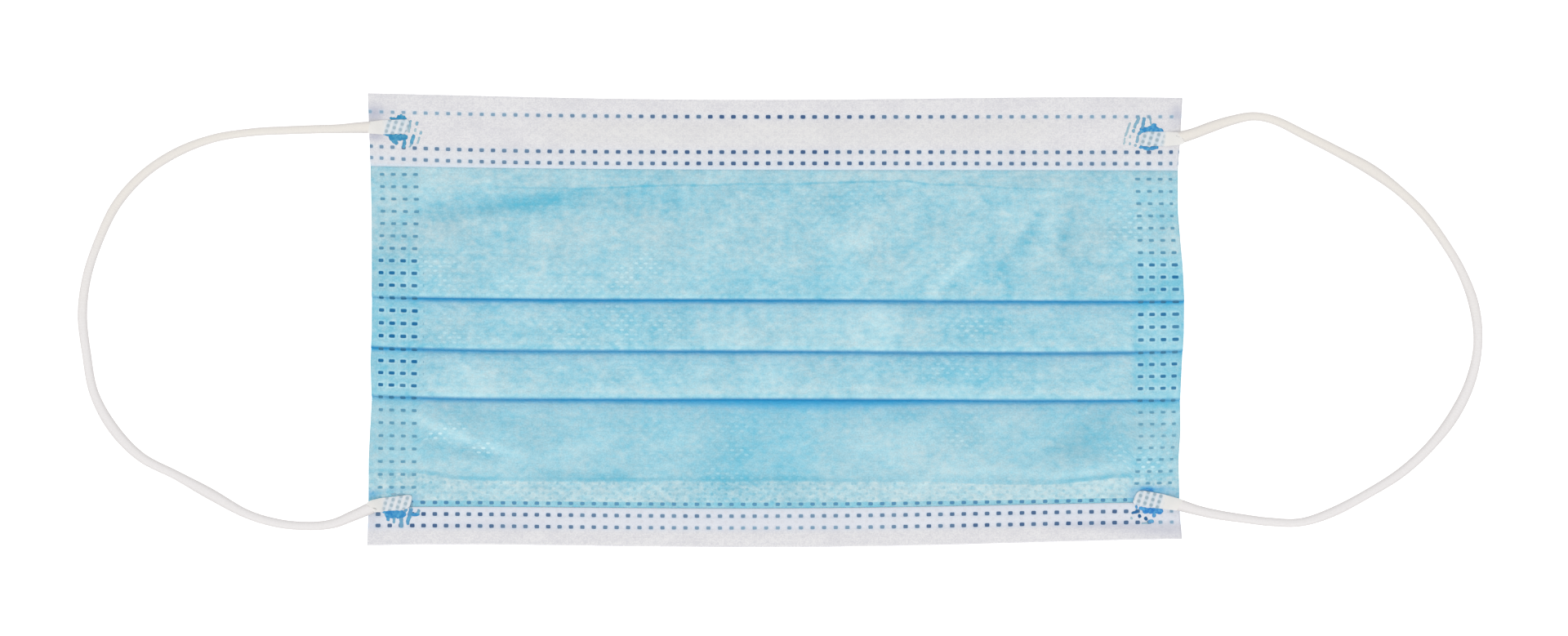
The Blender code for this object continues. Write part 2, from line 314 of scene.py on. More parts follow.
def ear_loop(name):
    """One elastic cord as a closed tube; its material gets length, turn and |cos(turn)|, 1 at the sides."""
    centres, width, height = cord_line(name)
    rings, sizes = capped(centres, np.column_stack([width, height]))
    points = ring_points(rings, sizes, 1 + RIB_DEPTH * np.cos(RIB_COUNT * TURNS))
    loop = tube(name.replace("ear_loop", "elastic_cord"), points)
    place = np.zeros(points.shape)
    place[..., 0] = np.cumsum(np.linalg.norm(np.diff(rings, axis=0, prepend=rings[:1]), axis=1))[:, None]
    place[..., 1] = np.arange(SIDE_COUNT) / SIDE_COUNT
    place[..., 2] = np.abs(np.cos(TURNS))
    give(loop, "cord_place", place.reshape(-1, 3))
    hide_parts(name)
    return loop


cords = [ear_loop(name) for name in ROUTES]

# %% [markdown]
# Every fold, band edge and row of weld points runs from the left edge to the right edge and is nearly
# straight. Five heights at even stations give each line, and a quartic joins them.

# %% Lines across the mask
HALF_WIDTH = 87.5
STATIONS = np.array([-87.5, -43.75, 0.0, 43.75, 87.5])
LINES = {
    # left, half way, middle, half way, right
    "top_edge":    (48.8,   47.8,   47.4,   47.8,   47.8),
    "top_row_1":   (44.96,  44.04,  43.78,  43.8,   43.81),
    "top_row_2":   (37.5,   36.31,  36.2,   36.18,  36.21),
    "top_row_3":   (35.05,  33.84,  33.77,  33.73,  33.75),
    "top_band":    (33.2,   32.6,   32.35,  32.3,   32.2),
    "weld_first":  (31.45,  31.17,  30.9,   30.62,  30.34),
    "pleat_1":     (5,      4.3,    4.2,    4,      4),
    "pleat_2":     (-6,     -6.8,   -6.9,   -7.2,   -6.8),
    "pleat_3":     (-16.4,  -17.2,  -17.2,  -17.4,  -17.2),
    "weld_last":   (-36.05, -36.05, -36,    -35.7,  -35.05),
    "low_row_1":   (-39.3,  -39.53, -39.7,  -39.29, -38.6),
    "bottom_band": (-40.4,  -40.4,  -40.6,  -40,    -39.3),
    "low_row_2":   (-41.85, -42.05, -42.26, -41.74, -41.18),
    "low_row_3":   (-44.3,  -44.6,  -44.81, -44.22, -43.54),
    "bottom_edge": (-48.55, -48.55, -48.9,  -48.2,  -47.15),
}


def line(name, x):
    """Height of a line at x: the quartic through its five heights at the stations."""
    return np.polyval(np.polyfit(STATIONS / HALF_WIDTH, LINES[name], 4), np.asarray(x) / HALF_WIDTH)


print("first pleat at the middle:", round(float(line("pleat_1", 0.0)), 2), "mm")

# %% [markdown]
# The two sides were cut with a knife and are slightly wavy: a short table says how far out they are at each
# height. The columns of the grids are straight, and only their outermost 3 mm are stretched or squeezed to
# end on the cut.

# %% The cut sides
SIDE_EDGES = np.array([
    # height, left, right
    (-49, 87.9,  87.8),
    (-42, 87.7,  87.2),
    (-30, 87.6,  86.9),
    (-24, 87.3,  87.3),
    (-17, 86.9,  87.2),
    (-9,  87.2,  87.6),
    (-3,  86.9,  88),
    (4,   86.9,  88.1),
    (11,  86.9,  87.8),
    (23,  87,    86.8),
    (33,  87.25, 86.8),
    (38,  87.4,  87.2),
    (49,  87.8,  87.8),
])


def by_side(x, at, table, column=1):
    """A table's value where its first column is `at`: from one column for x < 0, from the next for x > 0."""
    left, right = (np.interp(at, table[:, 0], table[:, column + side]) for side in (0, 1))
    return np.where(x < 0, left, right)


def follow_cut(x, y):
    """x with the outermost 3 mm stretched, so that the nominal edge lies on the cut edge at height y."""
    reach = by_side(x, y, SIDE_EDGES)
    return x + np.sign(x) * (reach - HALF_WIDTH) * smooth_step(HALF_WIDTH - 3, HALF_WIDTH, np.abs(x))


print("left and right edge at half height:", follow_cut(np.array([-HALF_WIDTH, HALF_WIDTH]), 0.0))

# %% [markdown]
# Cloth is never quite even. A sum of sine waves with seeded directions makes a gentle swell that is the
# same in every run, and a hump function raises the cloth between two rows of welds, as quilting does.

# %% Swells and humps
def swell(x, y, seed, longest, shortest, count=14):
    """Sum of sine waves in seeded directions, longer waves being higher, scaled to a spread of about 1."""
    source = np.random.default_rng(seed)
    lengths = np.geomspace(longest, shortest, count)
    turns = source.uniform(0, np.pi, count)
    phases = source.uniform(0, 2 * np.pi, count)
    total = 0
    for length, turn, phase in zip(lengths, turns, phases):
        total = total + length * np.sin(2 * np.pi * (x * np.cos(turn) + y * np.sin(turn)) / length + phase)
    return total / np.sqrt((lengths**2).sum() / 2)


def hump(y, start, end):
    """0 outside start to end and a rounded rise to 1 half way between them."""
    share = np.clip((y - start) / (end - start), 0, 1)
    return np.sin(np.pi * share) ** 1.4


def fall_off(distance):
    """1 at distance 0 and softly down to nearly 0 at distance 2: exp(-distance²)."""
    return np.exp(-distance**2)


print("a swell at the middle:", round(float(swell(0.0, 0.0, 7, 34, 9)), 2))

# %% [markdown]
# The layers are held together by small rectangular welds, pressed by a toothed wheel. Along the bands they
# stand in straight rows, about 2.45 mm apart, and at each side there are four columns of them. The wheel
# slips a little on soft cloth, so the rows of a band are spaced by a quartic.

# %% Places of the weld points
BAND_COUNT = 70
BAND_PITCH = 2.45
SIDE_PITCH = 2.42
ROW_PITCH = 2.66
BAND_WELDS = {
    # edge     x of the welds number 0, 17.25, 34.5, 51.75 and 69
    "top":    (-84.85, -43.10, -0.27, 42.85, 85.41),
    "bottom": (-85.52, -43.40, -0.70, 42.52, 85.50),
}
SIDE_COLUMNS = np.array([-84.85, -82.45, -80.00, -77.60, 78.20, 80.64, 83.08, 85.45])


def weld_places(edge, numbers):
    """x of the welds with the given numbers along the top or the bottom edge."""
    known = np.linspace(0, BAND_COUNT - 1, 5)
    return np.polyval(np.polyfit(known / BAND_COUNT, BAND_WELDS[edge], 4), numbers / BAND_COUNT)


def weld_number(edge, x):
    """Number of the weld at x along an edge, with the share of the way to the next one as its fraction."""
    numbers = np.arange(-2, BAND_COUNT + 2)
    return np.interp(x, weld_places(edge, numbers), numbers)


def side_column(x):
    """Number of the side column at x, counted inwards from the nearer edge, with its fraction."""
    left = np.interp(x, SIDE_COLUMNS[:4], np.arange(4), left=-1, right=9)
    right = np.interp(x, SIDE_COLUMNS[4:], np.arange(3, -1, -1), left=9, right=-1)
    outside = np.where(x < 0, x - SIDE_COLUMNS[0], SIDE_COLUMNS[7] - x) / SIDE_PITCH
    inside = 3 + np.where(x < 0, x - SIDE_COLUMNS[3], SIDE_COLUMNS[4] - x) / SIDE_PITCH
    column = np.where(x < 0, left, right)
    return np.where(column < 0, outside, np.where(column > 8, inside, column))


def off_centre(number):
    """Distance of a weld number with its fraction from the nearest whole weld, in pitches."""
    return np.abs(number - np.round(number))


print(f"{BAND_COUNT} welds in a row of a band, {len(SIDE_COLUMNS)} columns at the sides")

# %% [markdown]
# Not every weld is equally strong. The wheel pressed hardest in the middle of the top band and half way
# down the sides, and a weak weld is smaller and paler. At the sides the columns also lean a little.

# %% Strength of the weld points
SIDE_ROWS = np.array([
    # row, lean left and right, strength left and right
    (0,  0.07,  -0.1, 0.43, 0.39),
    (3,  0.31,  0.29, 0.45, 0.39),
    (5,  0.05,  0.41, 0.47, 0.41),
    (6,  -0.08, 0.48, 0.6,  0.54),
    (7,  -0.17, 0.52, 0.9,  0.82),
    (11, -0.03, 0.55, 1,    0.82),
    (14, -0.13, 0.55, 1.05, 0.78),
    (18, -0.24, 0.4,  0.84, 0.76),
    (19, -0.18, 0.5,  0.44, 0.3),
    (21, -0.13, 0.61, 0.39, 0.23),
    (25, -0.3,  -0.3, 0.32, 0.32),
])
WELD_STATIONS = (-84.5, -77.0, -42.0, 0.0, 42.0, 76.0, 84.5)
WELD_STRENGTHS = {
    # one strength for each station, from left to right
    "top_row_1": (0.34, 0.4,  0.66, 1.08, 0.71, 0.45, 0.3),
    "top_row_2": (0.62, 0.74, 0.86, 1.04, 0.87, 0.84, 0.88),
    "top_row_3": (0.56, 0.66, 0.8,  1,    0.83, 0.76, 0.76),
    "low_row_1": (0.77, 0.82, 0.65, 0.66, 0.76, 0.72, 0.65),
    "low_row_2": (0.9,  0.97, 0.8,  0.66, 0.86, 0.95, 0.4),
    "low_row_3": (0.9,  1,    0.76, 0.44, 0.92, 0.98, 0.38),
}
BAND_WELD = (0.51, 0.42)      # half width and half height of a weld in a band
SIDE_WELD = (0.62, 0.35)      # the same at the sides


def row_strength(row, x):
    """How strong the welds of a band's row are at x."""
    return np.interp(x, WELD_STATIONS, WELD_STRENGTHS[row])


def weld_dent(sideways, along, size):
    """1 in a weld and 0 outside it: a rounded rectangle from the fourth powers of the shares."""
    share = (sideways / size[0]) ** 4 + (along / size[1]) ** 4
    return 1 - smooth_step(0.45, 1.6, share)


print("strongest weld:", max(max(row) for row in WELD_STRENGTHS.values()))

# %% [markdown]
# The body of the mask is one strip of three-ply cloth, folded three times like shingles. A Cloth simulation
# could drape it, but folded and welded cloth is stiff, and its section is known. So the section is drawn
# once as a path of straight runs and half turns, and every value in it may change across the mask: in the
# welded strips at the sides the layers are thin and pressed together, and in the middle they are loose.

# %% Columns and values of the cloth
PLEATS = ("pleat_1", "pleat_2", "pleat_3")
PLEAT_DEPTH = 9.5             # how far a pleat reaches up behind its fold line
LEAST_SPACING = 10.2          # the least distance between two fold lines
TABLE_GAP = 0.05
PRESSED_FROM, PRESSED_TO = 74.5, 78.0
PLY, PLY_LOST = 0.42, 0.12    # thickness of the cloth, and how much of it is pressed away at the sides
PITCH, PITCH_LOST = 0.75, 0.40    # the same for the distance from one layer to the next
TUCK_HEIGHT = 0.48            # middle of the cloth where it is tucked into a band
WELD_LINES = np.array([-0.68, -0.4, 0.0, 0.4, 0.68])      # columns of the grid at each column of welds
SIDE_LINES = [-87.5, -87.1, -86.2, 86.5, 87.1, 87.5]

side_lines = (SIDE_COLUMNS[:, None] + WELD_LINES).ravel()
cloth_x = np.sort(np.concatenate([side_lines, SIDE_LINES, np.linspace(-76.5, 77.1, 134)]))
pressed = smooth_step(PRESSED_FROM, PRESSED_TO, np.abs(cloth_x))
ply = PLY - PLY_LOST * pressed
pitch = PITCH - PITCH_LOST * pressed
radius = pitch / 2
fold_reach = radius + ply / 2
slope = np.arcsin(4 * radius / LEAST_SPACING)
down_y, down_z = -np.cos(slope), np.sin(slope)
off_y, off_z = np.sin(slope), np.cos(slope)
print(f"{len(cloth_x)} columns, steepest layer {np.degrees(slope.max()):.1f} degrees")

# %% [markdown]
# A fold has an outer half turn, whose edge is the dark line on the front, and an inner half turn, hidden
# 9.5 mm behind it. The inner one lies low on the table. The outer one is two layers up, at the end of a
# sloped run. Folds pressed by a machine still waver by a few hundredths of a millimetre.

# %% Centres of the half turns
WAVER = 0.05                  # how far a fold strays from its line, each fold in its own phase
WAVER_LENGTH = 6.1


def fold_centres(pleat):
    """Centres (y, z) of the outer and the inner half turn of a pleat, one pair for each column."""
    edge = line(pleat, cloth_x) + WAVER * np.sin(cloth_x / WAVER_LENGTH + 7 + line(pleat, 0.0))
    low_y = edge + PLEAT_DEPTH - fold_reach
    low_z = fold_reach + TABLE_GAP
    run = (low_y - (edge + fold_reach) + 2 * radius * off_y) / np.cos(slope)
    high_y = low_y + 2 * radius * off_y + run * down_y
    high_z = low_z + 2 * radius * off_z + run * down_z
    return (high_y, high_z), (low_y, low_z)


def half_turn(centre, side):
    """Seven points round a centre: from the layer above, round the outward side, to the layer below."""
    turn = np.linspace(0, np.pi, 7)
    outwards, on = side * np.sin(turn), np.cos(turn)
    return [middle[:, None] + radius[:, None] * (on * off[:, None] + outwards * down[:, None])
            for middle, off, down in zip(centre, (off_y, off_z), (down_y, down_z))]


outer, inner = zip(*(fold_centres(pleat) for pleat in PLEATS))
print(f"highest fold line {outer[0][1].max() + fold_reach.max():.2f} mm over the table")

# %% [markdown]
# The rows of side welds keep step with the pleats: ten rows down to the first fold, four more to each of
# the next two, and seven to the last row. So the weld row is a ruler that runs down the cloth. Six grid
# lines for each row give a weld its top, middle and bottom, and the bare cloth in between one more.

# %% Grid lines that follow the weld rows
ROW_MARKS = (0, 10, 14, 18, 25)
ROW_LINES = ("weld_first", "pleat_1", "pleat_2", "pleat_3", "weld_last")
ROW_STEPS = np.array([-0.145, -0.08, 0.0, 0.08, 0.145, 0.5])
marks = np.stack([line(name, cloth_x) for name in ROW_LINES], axis=1)


def row_height(row):
    """Height of weld row number row in every column, straight between the marked rows and beyond them."""
    part = np.clip(np.searchsorted(ROW_MARKS, row, side="right") - 1, 0, 3)
    share = (row - ROW_MARKS[part]) / (ROW_MARKS[part + 1] - ROW_MARKS[part])
    return marks[:, part] + (marks[:, part + 1] - marks[:, part]) * share


def row_number(y):
    """Weld row number at height y in each column: the same ruler read the other way."""
    row = np.zeros(y.shape)
    for part in range(4):
        upper, lower = marks[:, part, None], marks[:, part + 1, None]
        low = -9 if part == 0 else 0
        high = 9 if part == 3 else 1
        share = np.clip((upper - y) / (upper - lower), low, high)
        row = row + share * (ROW_MARKS[part + 1] - ROW_MARKS[part])
    return row


def rows_between(first, last):
    """Grid lines of the weld rows first to last, as columns of heights."""
    numbers = (np.arange(first, last + 1)[:, None] + ROW_STEPS).ravel()
    return np.stack([row_height(number) for number in numbers], axis=1)


middle = len(cloth_x) // 2
print(f"weld rows 2 and 3 are {(row_height(2) - row_height(3))[middle]:.2f} mm apart at the middle")

# %% [markdown]
# Between the folds the layers are straight and sloped. Where the cloth leaves a band it follows a cubic, so
# that it starts level and meets the straight run without a bend.

# %% Straight and eased runs
flat = np.zeros(len(cloth_x))
fall = -np.tan(slope)
top_band = line("top_band", cloth_x)
low_band = line("bottom_band", cloth_x)
tuck = np.full(len(cloth_x), TUCK_HEIGHT)


def spaced(start, end, count):
    """Lines strictly between two lines, evenly spaced, as columns of a grid."""
    shares = np.linspace(0, 1, count + 2)[1:-1]
    return start[:, None] + (end - start)[:, None] * shares


def beside(place, offsets):
    """Lines at fixed offsets from a line, as columns of a grid."""
    return place[:, None] + np.array(offsets)


def sloped(y, start):
    """Height at y of a straight layer that starts at (y, z) and falls away from the fold above."""
    return start[1][:, None] + (y - start[0][:, None]) * fall[:, None]


def hermite(y, start, end, start_slope, end_slope):
    """Height at y of the cubic from start (y, z) to end (y, z) that has the given slopes at its ends."""
    span = (end[0] - start[0])[:, None]
    t = (y - start[0][:, None]) / span
    rise = (2 * t**3 - 3 * t**2 + 1) * start[1][:, None] + (3 * t**2 - 2 * t**3) * end[1][:, None]
    return rise + span * ((t**3 - 2 * t**2 + t) * start_slope[:, None] + (t**3 - t**2) * end_slope[:, None])


print(f"a straight run falls by up to {-fall.min():.2f} mm in each mm")

# %% [markdown]
# Now the whole section. Under the top band the cloth lies flat, then an S-shaped run climbs to the first
# fold. After the last fold the cloth comes down again and is tucked into the bottom band. Grid lines stand
# close together where the cloth bends, at the welds and beside the fold lines.

# %% The section of the cloth
TUCK_DEPTH = 5.0              # how far the cloth reaches into the top band
TOP_STEPS = (0.3, 0.0, -0.3, -0.7)                   # grid lines where it comes out from under that band
FOLD_STEPS = (0.5, 0.18)                             # and just before a fold
SHADE_STEPS = (0.4, 0.1, -0.15, -0.45, -0.85, -1.4)  # and in the shade below the fold above
LOW_STEPS = (0.38, 0.2, 0, -0.2, -0.38)              # and at the last row of welds on the cloth
TUCK_STEPS = (0.1, -0.5, -2.0, -4.5)                 # and where it goes into the bottom band
RUN_ROWS = ((11, 13), (15, 17), (19, 25))            # first and last weld row below each fold

fold_starts = [(high[0] + radius * off_y, high[1] + radius * off_z) for high in outer]
upper_y = np.hstack([beside(top_band, [TUCK_DEPTH]), spaced(top_band + TUCK_DEPTH, top_band + 0.3, 2),
                     beside(top_band, TOP_STEPS), rows_between(0, 9), beside(fold_starts[0][0], FOLD_STEPS)])
upper_z = np.where(upper_y > top_band[:, None], TUCK_HEIGHT,
                   hermite(upper_y, (top_band, tuck), fold_starts[0], flat, fall))
path = [(upper_y, upper_z)]
for number, pleat in enumerate(PLEATS):
    edge = line(pleat, cloth_x)
    start = (inner[number][0] - radius * off_y, inner[number][1] - radius * off_z)
    path.append(half_turn(outer[number], 1))
    path.append([spaced(high - radius * off, low + radius * off, 2) for high, low, off
                 in zip(outer[number], inner[number], (off_y, off_z))])
    path.append(half_turn(inner[number], -1))
    lines = [spaced(start[0], edge + 0.5, 4), beside(edge, SHADE_STEPS), rows_between(*RUN_ROWS[number])]
    if number < 2:
        run_y = np.hstack([*lines, beside(fold_starts[number + 1][0], FOLD_STEPS)])
        run_z = sloped(run_y, start)
    else:
        run_y = np.hstack([*lines, beside(line("low_row_1", cloth_x), LOW_STEPS),
                           beside(low_band, TUCK_STEPS)])
        under = (edge, sloped(edge[:, None], start)[:, 0])
        eased = hermite(run_y, under, (low_band, tuck), fall, flat)
        run_z = np.where(run_y > edge[:, None], sloped(run_y, start),
                         np.where(run_y > low_band[:, None], eased, TUCK_HEIGHT))
    path.append((run_y, run_z))
section_y, section_z = (np.hstack(part) for part in zip(*path))
print("points in each part of the section:", [part[0].shape[1] for part in path])

# %% [markdown]
# The cloth also bows up in the middle and has soft creases: some slant down from the upper right corner,
# others come in from the lower left. Each crease is a row of a table: where it starts and ends, how wide
# and how high it is, and two numbers for its look. `pale` is more than 0 where the cloth is stretched thin
# over a ridge, and less in a hollow, where it looks deeper blue. `light` is less than 0 where it looks
# dull and greyish and more where it looks clear. Both are partly painted light and shade: ridges are
# painted lighter and hollows darker than the shallow relief alone would shade them.

# %% Creases
CREASES = np.array([
    # x0, y0, x1, y1, width, height, pale, light
    (-76,   22.8,  -62,   23.6,  1.9, -0.16, -0.95, -0.35),
    (-62,   24,    -54,   25,    1.9, -0.16, -0.95, -0.1),
    (-57,   25.2,  -48,   25.8,  2,   -0.16, -1.15, 0.2),
    (-50,   25.8,  -42,   27.2,  1.5, -0.14, -0.85, 0),
    (-44,   27.4,  -32,   27.4,  1.2, -0.1,  -0.5,  -0.1),
    (-42,   24.8,  -32,   24.6,  1.6, -0.1,  -0.6,  -0.3),
    (-29,   28.2,  -21,   26.8,  1.6, -0.06, -0.65, 0.1),
    (-29,   22.8,  -22,   24,    2.4, -0.06, -0.75, -0.5),
    (-18,   28.4,  2,     28.2,  1.1, -0.05, -0.35, 0),
    (26.3,  5.2,   30.8,  11.8,  0.9, 0.16,  0.45,  0.2),
    (33.3,  4.8,   36.3,  9,     0.9, 0.2,   0.8,   0.4),
    (36.3,  9,     40.8,  12.9,  1.1, 0.2,   0.75,  0.4),
    (40.8,  12.9,  50.8,  16.2,  1.2, 0.15,  0.4,   0.2),
    (50.8,  18.6,  60.8,  29.6,  1.3, 0.16,  0.45,  0),
    (60.2,  27,    59.4,  16.2,  0.9, 0.15,  0.4,   0),
    (37,    7.5,   49,    10.5,  2,   -0.14, -0.55, 0.2),
    (53,    15.8,  57.4,  22.9,  1.5, -0.12, -0.6,  0),
    (62.4,  16,    64.5,  23.5,  2,   -0.25, -0.5,  -0.8),
    (22.4,  2.4,   24.1,  -4.9,  1.3, 0.1,   0.55,  0.1),
    (-68,   -9,    -62,   -15,   1.2, 0.08,  0.45,  0),
    (-76.5, -21.4, -66.9, -25.2, 1.1, 0.22,  0.75,  0.6),
    (-66.9, -25.2, -54.7, -29.3, 1.1, 0.2,   0.55,  0.9),
    (-75,   -26.7, -60,   -30,   1.4, -0.2,  -0.6,  -0.45),
    (-66,   -20.4, -53.6, -22.8, 1.8, -0.12, -0.35, -0.4),
    (-47,   -29.5, -31,   -24,   1.6, 0.08,  0.35,  0.2),
    (-50,   -33.2, -31,   -33.6, 0.9, -0.14, -0.8,  -0.2),
    (-12,   -33.6, 10,    -33.8, 0.7, -0.14, -0.55, 0),
    (44,    -32,   62,    -33.4, 0.7, 0.1,   0.4,   0.4),
    (62,    -33.4, 76.5,  -31.2, 0.7, 0.1,   0.5,   0.6),
    (40,    -24.5, 54,    -21.5, 2,   0.08,  0.35,  0),
    (77,    -19.6, 87,    -18.6, 0.6, -0.12, -0.45, 0.1),
    (72,    -21.6, 87,    -20.3, 0.6, 0.12,  0.45,  0.2),
    (82.1,  -31.4, 86.9,  -29.4, 0.8, -0.16, -0.75, 0.2),
    (79,    -32.7, 87,    -30.8, 0.5, 0.12,  0.6,   0.3),
])


def creases(x, y):
    """Sums of the creases' height, pale and light: each falls off with the square of the distance."""
    total = np.zeros((3, *x.shape))
    for x0, y0, x1, y1, width, *amounts in CREASES:
        run = np.array([x1 - x0, y1 - y0])
        share = np.clip(((x - x0) * run[0] + (y - y0) * run[1]) / (run @ run), 0, 1)
        away = np.hypot(x - x0 - share * run[0], y - y0 - share * run[1]) / width
        total += np.array(amounts)[:, None, None] * fall_off(away)
    return total


print(len(CREASES), "creases")

# %% [markdown]
# Wider patches have no height at all: the mat is only paler or deeper, and duller or clearer, there.
# They are soft ovals with the same two numbers, and a third for how strongly the bond points of the mat get
# a painted glint there. Each patch stays on its own layer of the folded cloth.

# %% Soft patches
PATCHES = np.array([
    # x, y, radius_x, radius_y, pale, light, glint
    (-70,   30,    7,   2.2, 0.85,  -0.1,  0.4),
    (-71,   19.5,  6,   3.2, 0.25,  -1.1,  0),
    (-43,   18,    6,   4.5, 0.5,   -0.6,  0),
    (-25,   18.3,  3.6, 2.8, 0.5,   -0.8,  0),
    (-83,   18,    6,   6,   -0.1,  -0.9,  0.2),
    (-9,    20,    8,   5,   0.2,   -0.3,  0),
    (-73,   12,    5,   5,   0,     0,     0.6),
    (-50,   7.5,   20,  3.2, 0,     0.5,   0.6),
    (-29,   11,    5,   4,   0.2,   0.2,   0.8),
    (-2,    7.5,   22,  3.2, -0.38, 0.75,  0.1),
    (16,    10,    5,   4.5, -0.25, 0.7,   0.1),
    (39,    10.5,  7,   4.5, 0.2,   0.3,   0.5),
    (14,    26,    13,  3,   -0.42, -0.15, 0.4),
    (57,    24.5,  2.2, 3.2, 0.6,   0,     0),
    (56,    30.7,  9,   1.2, -0.3,  -0.6,  0),
    (24,    31,    9,   1,   0.7,   -0.3,  0),
    (-22,   31.6,  8,   1,   -0.5,  -0.1,  0),
    (-82,   32,    5,   1.4, 0.8,   -0.2,  0),
    (70,    18,    6,   2.5, -0.3,  -0.6,  0),
    (-1,    12.5,  3,   1.8, 0.7,   -0.2,  0),
    (26,    8.5,   5,   2.2, 0.6,   0,     0),
    (18,    18,    5,   4,   0.6,   0,     0),
    (48,    10.5,  8,   4.5, -0.4,  0.45,  0),
    (76,    20,    5,   8,   0,     0.1,   0.6),
    (-70,   -1.5,  5,   5,   0,     0,     0.7),
    (-71,   -5,    7,   1.6, -0.75, -0.1,  0),
    (30,    -3.5,  3.6, 4,   0.8,   -0.4,  0),
    (-36,   -1.5,  15,  5,   -0.62, 0.3,   0.7),
    (2,     -1.5,  15,  5,   0.5,   0,     0),
    (21,    -1,    6,   5,   0.4,   0.1,   0),
    (43,    -1.5,  8,   5,   -0.48, 0.4,   0.5),
    (-62,   -12,   8,   5,   0.42,  0.1,   0.2),
    (-30,   -12,   12,  5,   -0.1,  0.35,  0.2),
    (-1,    -12,   6,   5,   0.45,  0.15,  0),
    (43,    -12,   12,  5,   -0.42, 0.7,   0.45),
    (-70.5, -24.3, 4.5, 1.5, 0.1,   0.2,   1.7),
    (-63,   -27.2, 4.5, 1.3, 0.1,   0.2,   1.7),
    (-45,   -24,   26,  8,   -0.2,  0.1,   0),
    (-25,   -25,   9,   8,   -0.2,  0.3,   0.1),
    (-8.5,  -26.5, 5,   7.5, -0.9,  0.5,   0.3),
    (-14,   -33,   5,   3.2, -0.7,  0.1,   0.2),
    (3,     -26,   8,   9,   -0.75, 0.45,  0),
    (28,    -28,   17,  8,   0.28,  0,     0),
    (41,    -24.5, 4.5, 3.5, -0.7,  -0.1,  0.6),
    (29,    -20.8, 12,  1.5, -0.6,  -0.1,  0),
    (64,    -28.6, 6,   2.4, -0.6,  -0.9,  0),
    (38,    -32.5, 6,   2.5, 0.55,  -0.4,  0),
    (-63,   -31,   7,   1.2, 0.7,   0.2,   0),
    (-78,   -31.7, 8,   0.9, 0.7,   0,     0),
    (-85,   -35.4, 3.5, 1.2, 0.7,   -0.2,  0),
    (74,    -35.3, 3,   1.6, 0.5,   0.3,   0),
    (69,    -24.5, 9,   3.8, -1.15, -0.25, 0),
    (79,    -30,   4.5, 3,   -0.2,  1.1,   1.7),
])


def oval(x, y, x0, y0, wide, high):
    """1 in the middle of a soft oval, falling off with the square of the distance."""
    return fall_off(np.hypot((x - x0) / wide, (y - y0) / high))


def patches(x, y, layer, folds):
    """Sums of the patches' three numbers, each on one layer only; folds are the heights of the fold lines."""
    total = np.zeros((3, *x.shape))
    for x0, y0, wide, high, *amounts in PATCHES:
        own_layer = sum(float(y0 < np.interp(x0, cloth_x, fold[:, 0])) for fold in folds)
        total += np.array(amounts)[:, None, None] * oval(x, y, x0, y0, wide, high) * (layer == own_layer)
    return total


print(len(PATCHES), "patches")

# %% [markdown]
# Two ledges run across the mask, one below the top band and one above the bottom band. There the cloth
# goes from three plies that lie loose to plies that the welding rollers pressed together. The small step
# at each ledge gets painted shade: a fine dark line at the upper ledge, and a blue line at the lower one,
# over a pale pressed strip.

# %% Ledges
LEDGES = np.array([
    # x, upper_y, upper_line, lower_y, lower_line, pale_below
    (-87.5, 29.2,  0,   -32.8, 0.5, 0.1),
    (-76,   29.1,  0.2, -33,   0.6, 0.5),
    (-69,   29,    0.3, -34.3, 0.7, 0.8),
    (-62,   28.9,  0.3, -34.6, 0.8, 0.8),
    (-55,   28.6,  0.6, -34.7, 0.3, 0.8),
    (-40,   28.4,  0.8, -34.8, 0.8, 0.8),
    (-30,   28.9,  0.8, -34.8, 0.9, 0.6),
    (-22,   29.2,  0.8, -34.5, 0.5, 0.4),
    (-14,   29.1,  1,   -34.7, 0.8, 0.1),
    (-7,    29.45, 1.1, -34.8, 0.9, 0),
    (2,     29.3,  0.7, -34.6, 0.9, 0.1),
    (10,    29.6,  1,   -34.8, 0.7, 0.4),
    (28,    30.1,  1,   -34.8, 0.2, 1),
    (33,    29.3,  0.8, -34.7, 0.2, 1),
    (42,    29.2,  0.9, -35.2, 0.4, 1),
    (50,    28.5,  0.7, -35.4, 0.5, 1),
    (60,    28.2,  0.4, -35.4, 0.5, 1),
    (66,    28.9,  0.2, -34.8, 0.8, 1),
    (72,    29,    0,   -34.1, 0.9, 1),
    (87.5,  29,    0,   -33.6, 0.3, 0.3),
])
upper_ledge, upper_line, lower_ledge, lower_line, pale_below = (
    np.interp(cloth_x, LEDGES[:, 0], values)[:, None] for values in LEDGES[:, 1:].T)
print("upper ledge from", upper_ledge.min().round(1), "to", upper_ledge.max().round(1), "mm")

# %% [markdown]
# The bow, the creases and a gentle swell move every layer of the stack together, so the layers keep their
# order. In the welded strips at the sides and under the bands the cloth is held, so there it moves less.

# %% Bow and relief
BOW_HEIGHT = 0.9
BOW_REACH = 77.5
LONG_SWELL, SHORT_SWELL = 0.07, 0.02
UPPER_STEP, LOWER_STEP = 0.10, 0.12   # how deep the rollers pressed the cloth at the ledges

grid_x = np.repeat(cloth_x[:, None], section_y.shape[1], axis=1)
loose = 1 - pressed[:, None]
span = np.clip((top_band[:, None] - section_y) / (top_band - low_band)[:, None], 0, 1)
bow = BOW_HEIGHT * np.clip(1 - (grid_x / BOW_REACH) ** 2, 0, 1) ** 1.5 * np.sin(np.pi * span) ** 0.8
crease_height, crease_pale, crease_light = creases(grid_x, section_y)
below_top = smooth_step(0.0, 1.5, top_band[:, None] - section_y)
open_cloth = below_top * smooth_step(0.0, 1.5, section_y - low_band[:, None])
ripple = (LONG_SWELL * swell(grid_x, section_y * 1.4, 7, 34, 9)
          + SHORT_SWELL * swell(grid_x, section_y, 11, 8, 3))
steps = UPPER_STEP * upper_line * fall_off((section_y - upper_ledge) / 0.5)
steps = steps + LOWER_STEP * lower_line * fall_off((section_y - lower_ledge - 0.4) / 0.6)
relief = ((crease_height + ripple) * (0.25 + 0.75 * loose) - steps) * open_cloth + bow * loose
sheet_z = section_z + relief + 0.05 * (1 - loose) * open_cloth
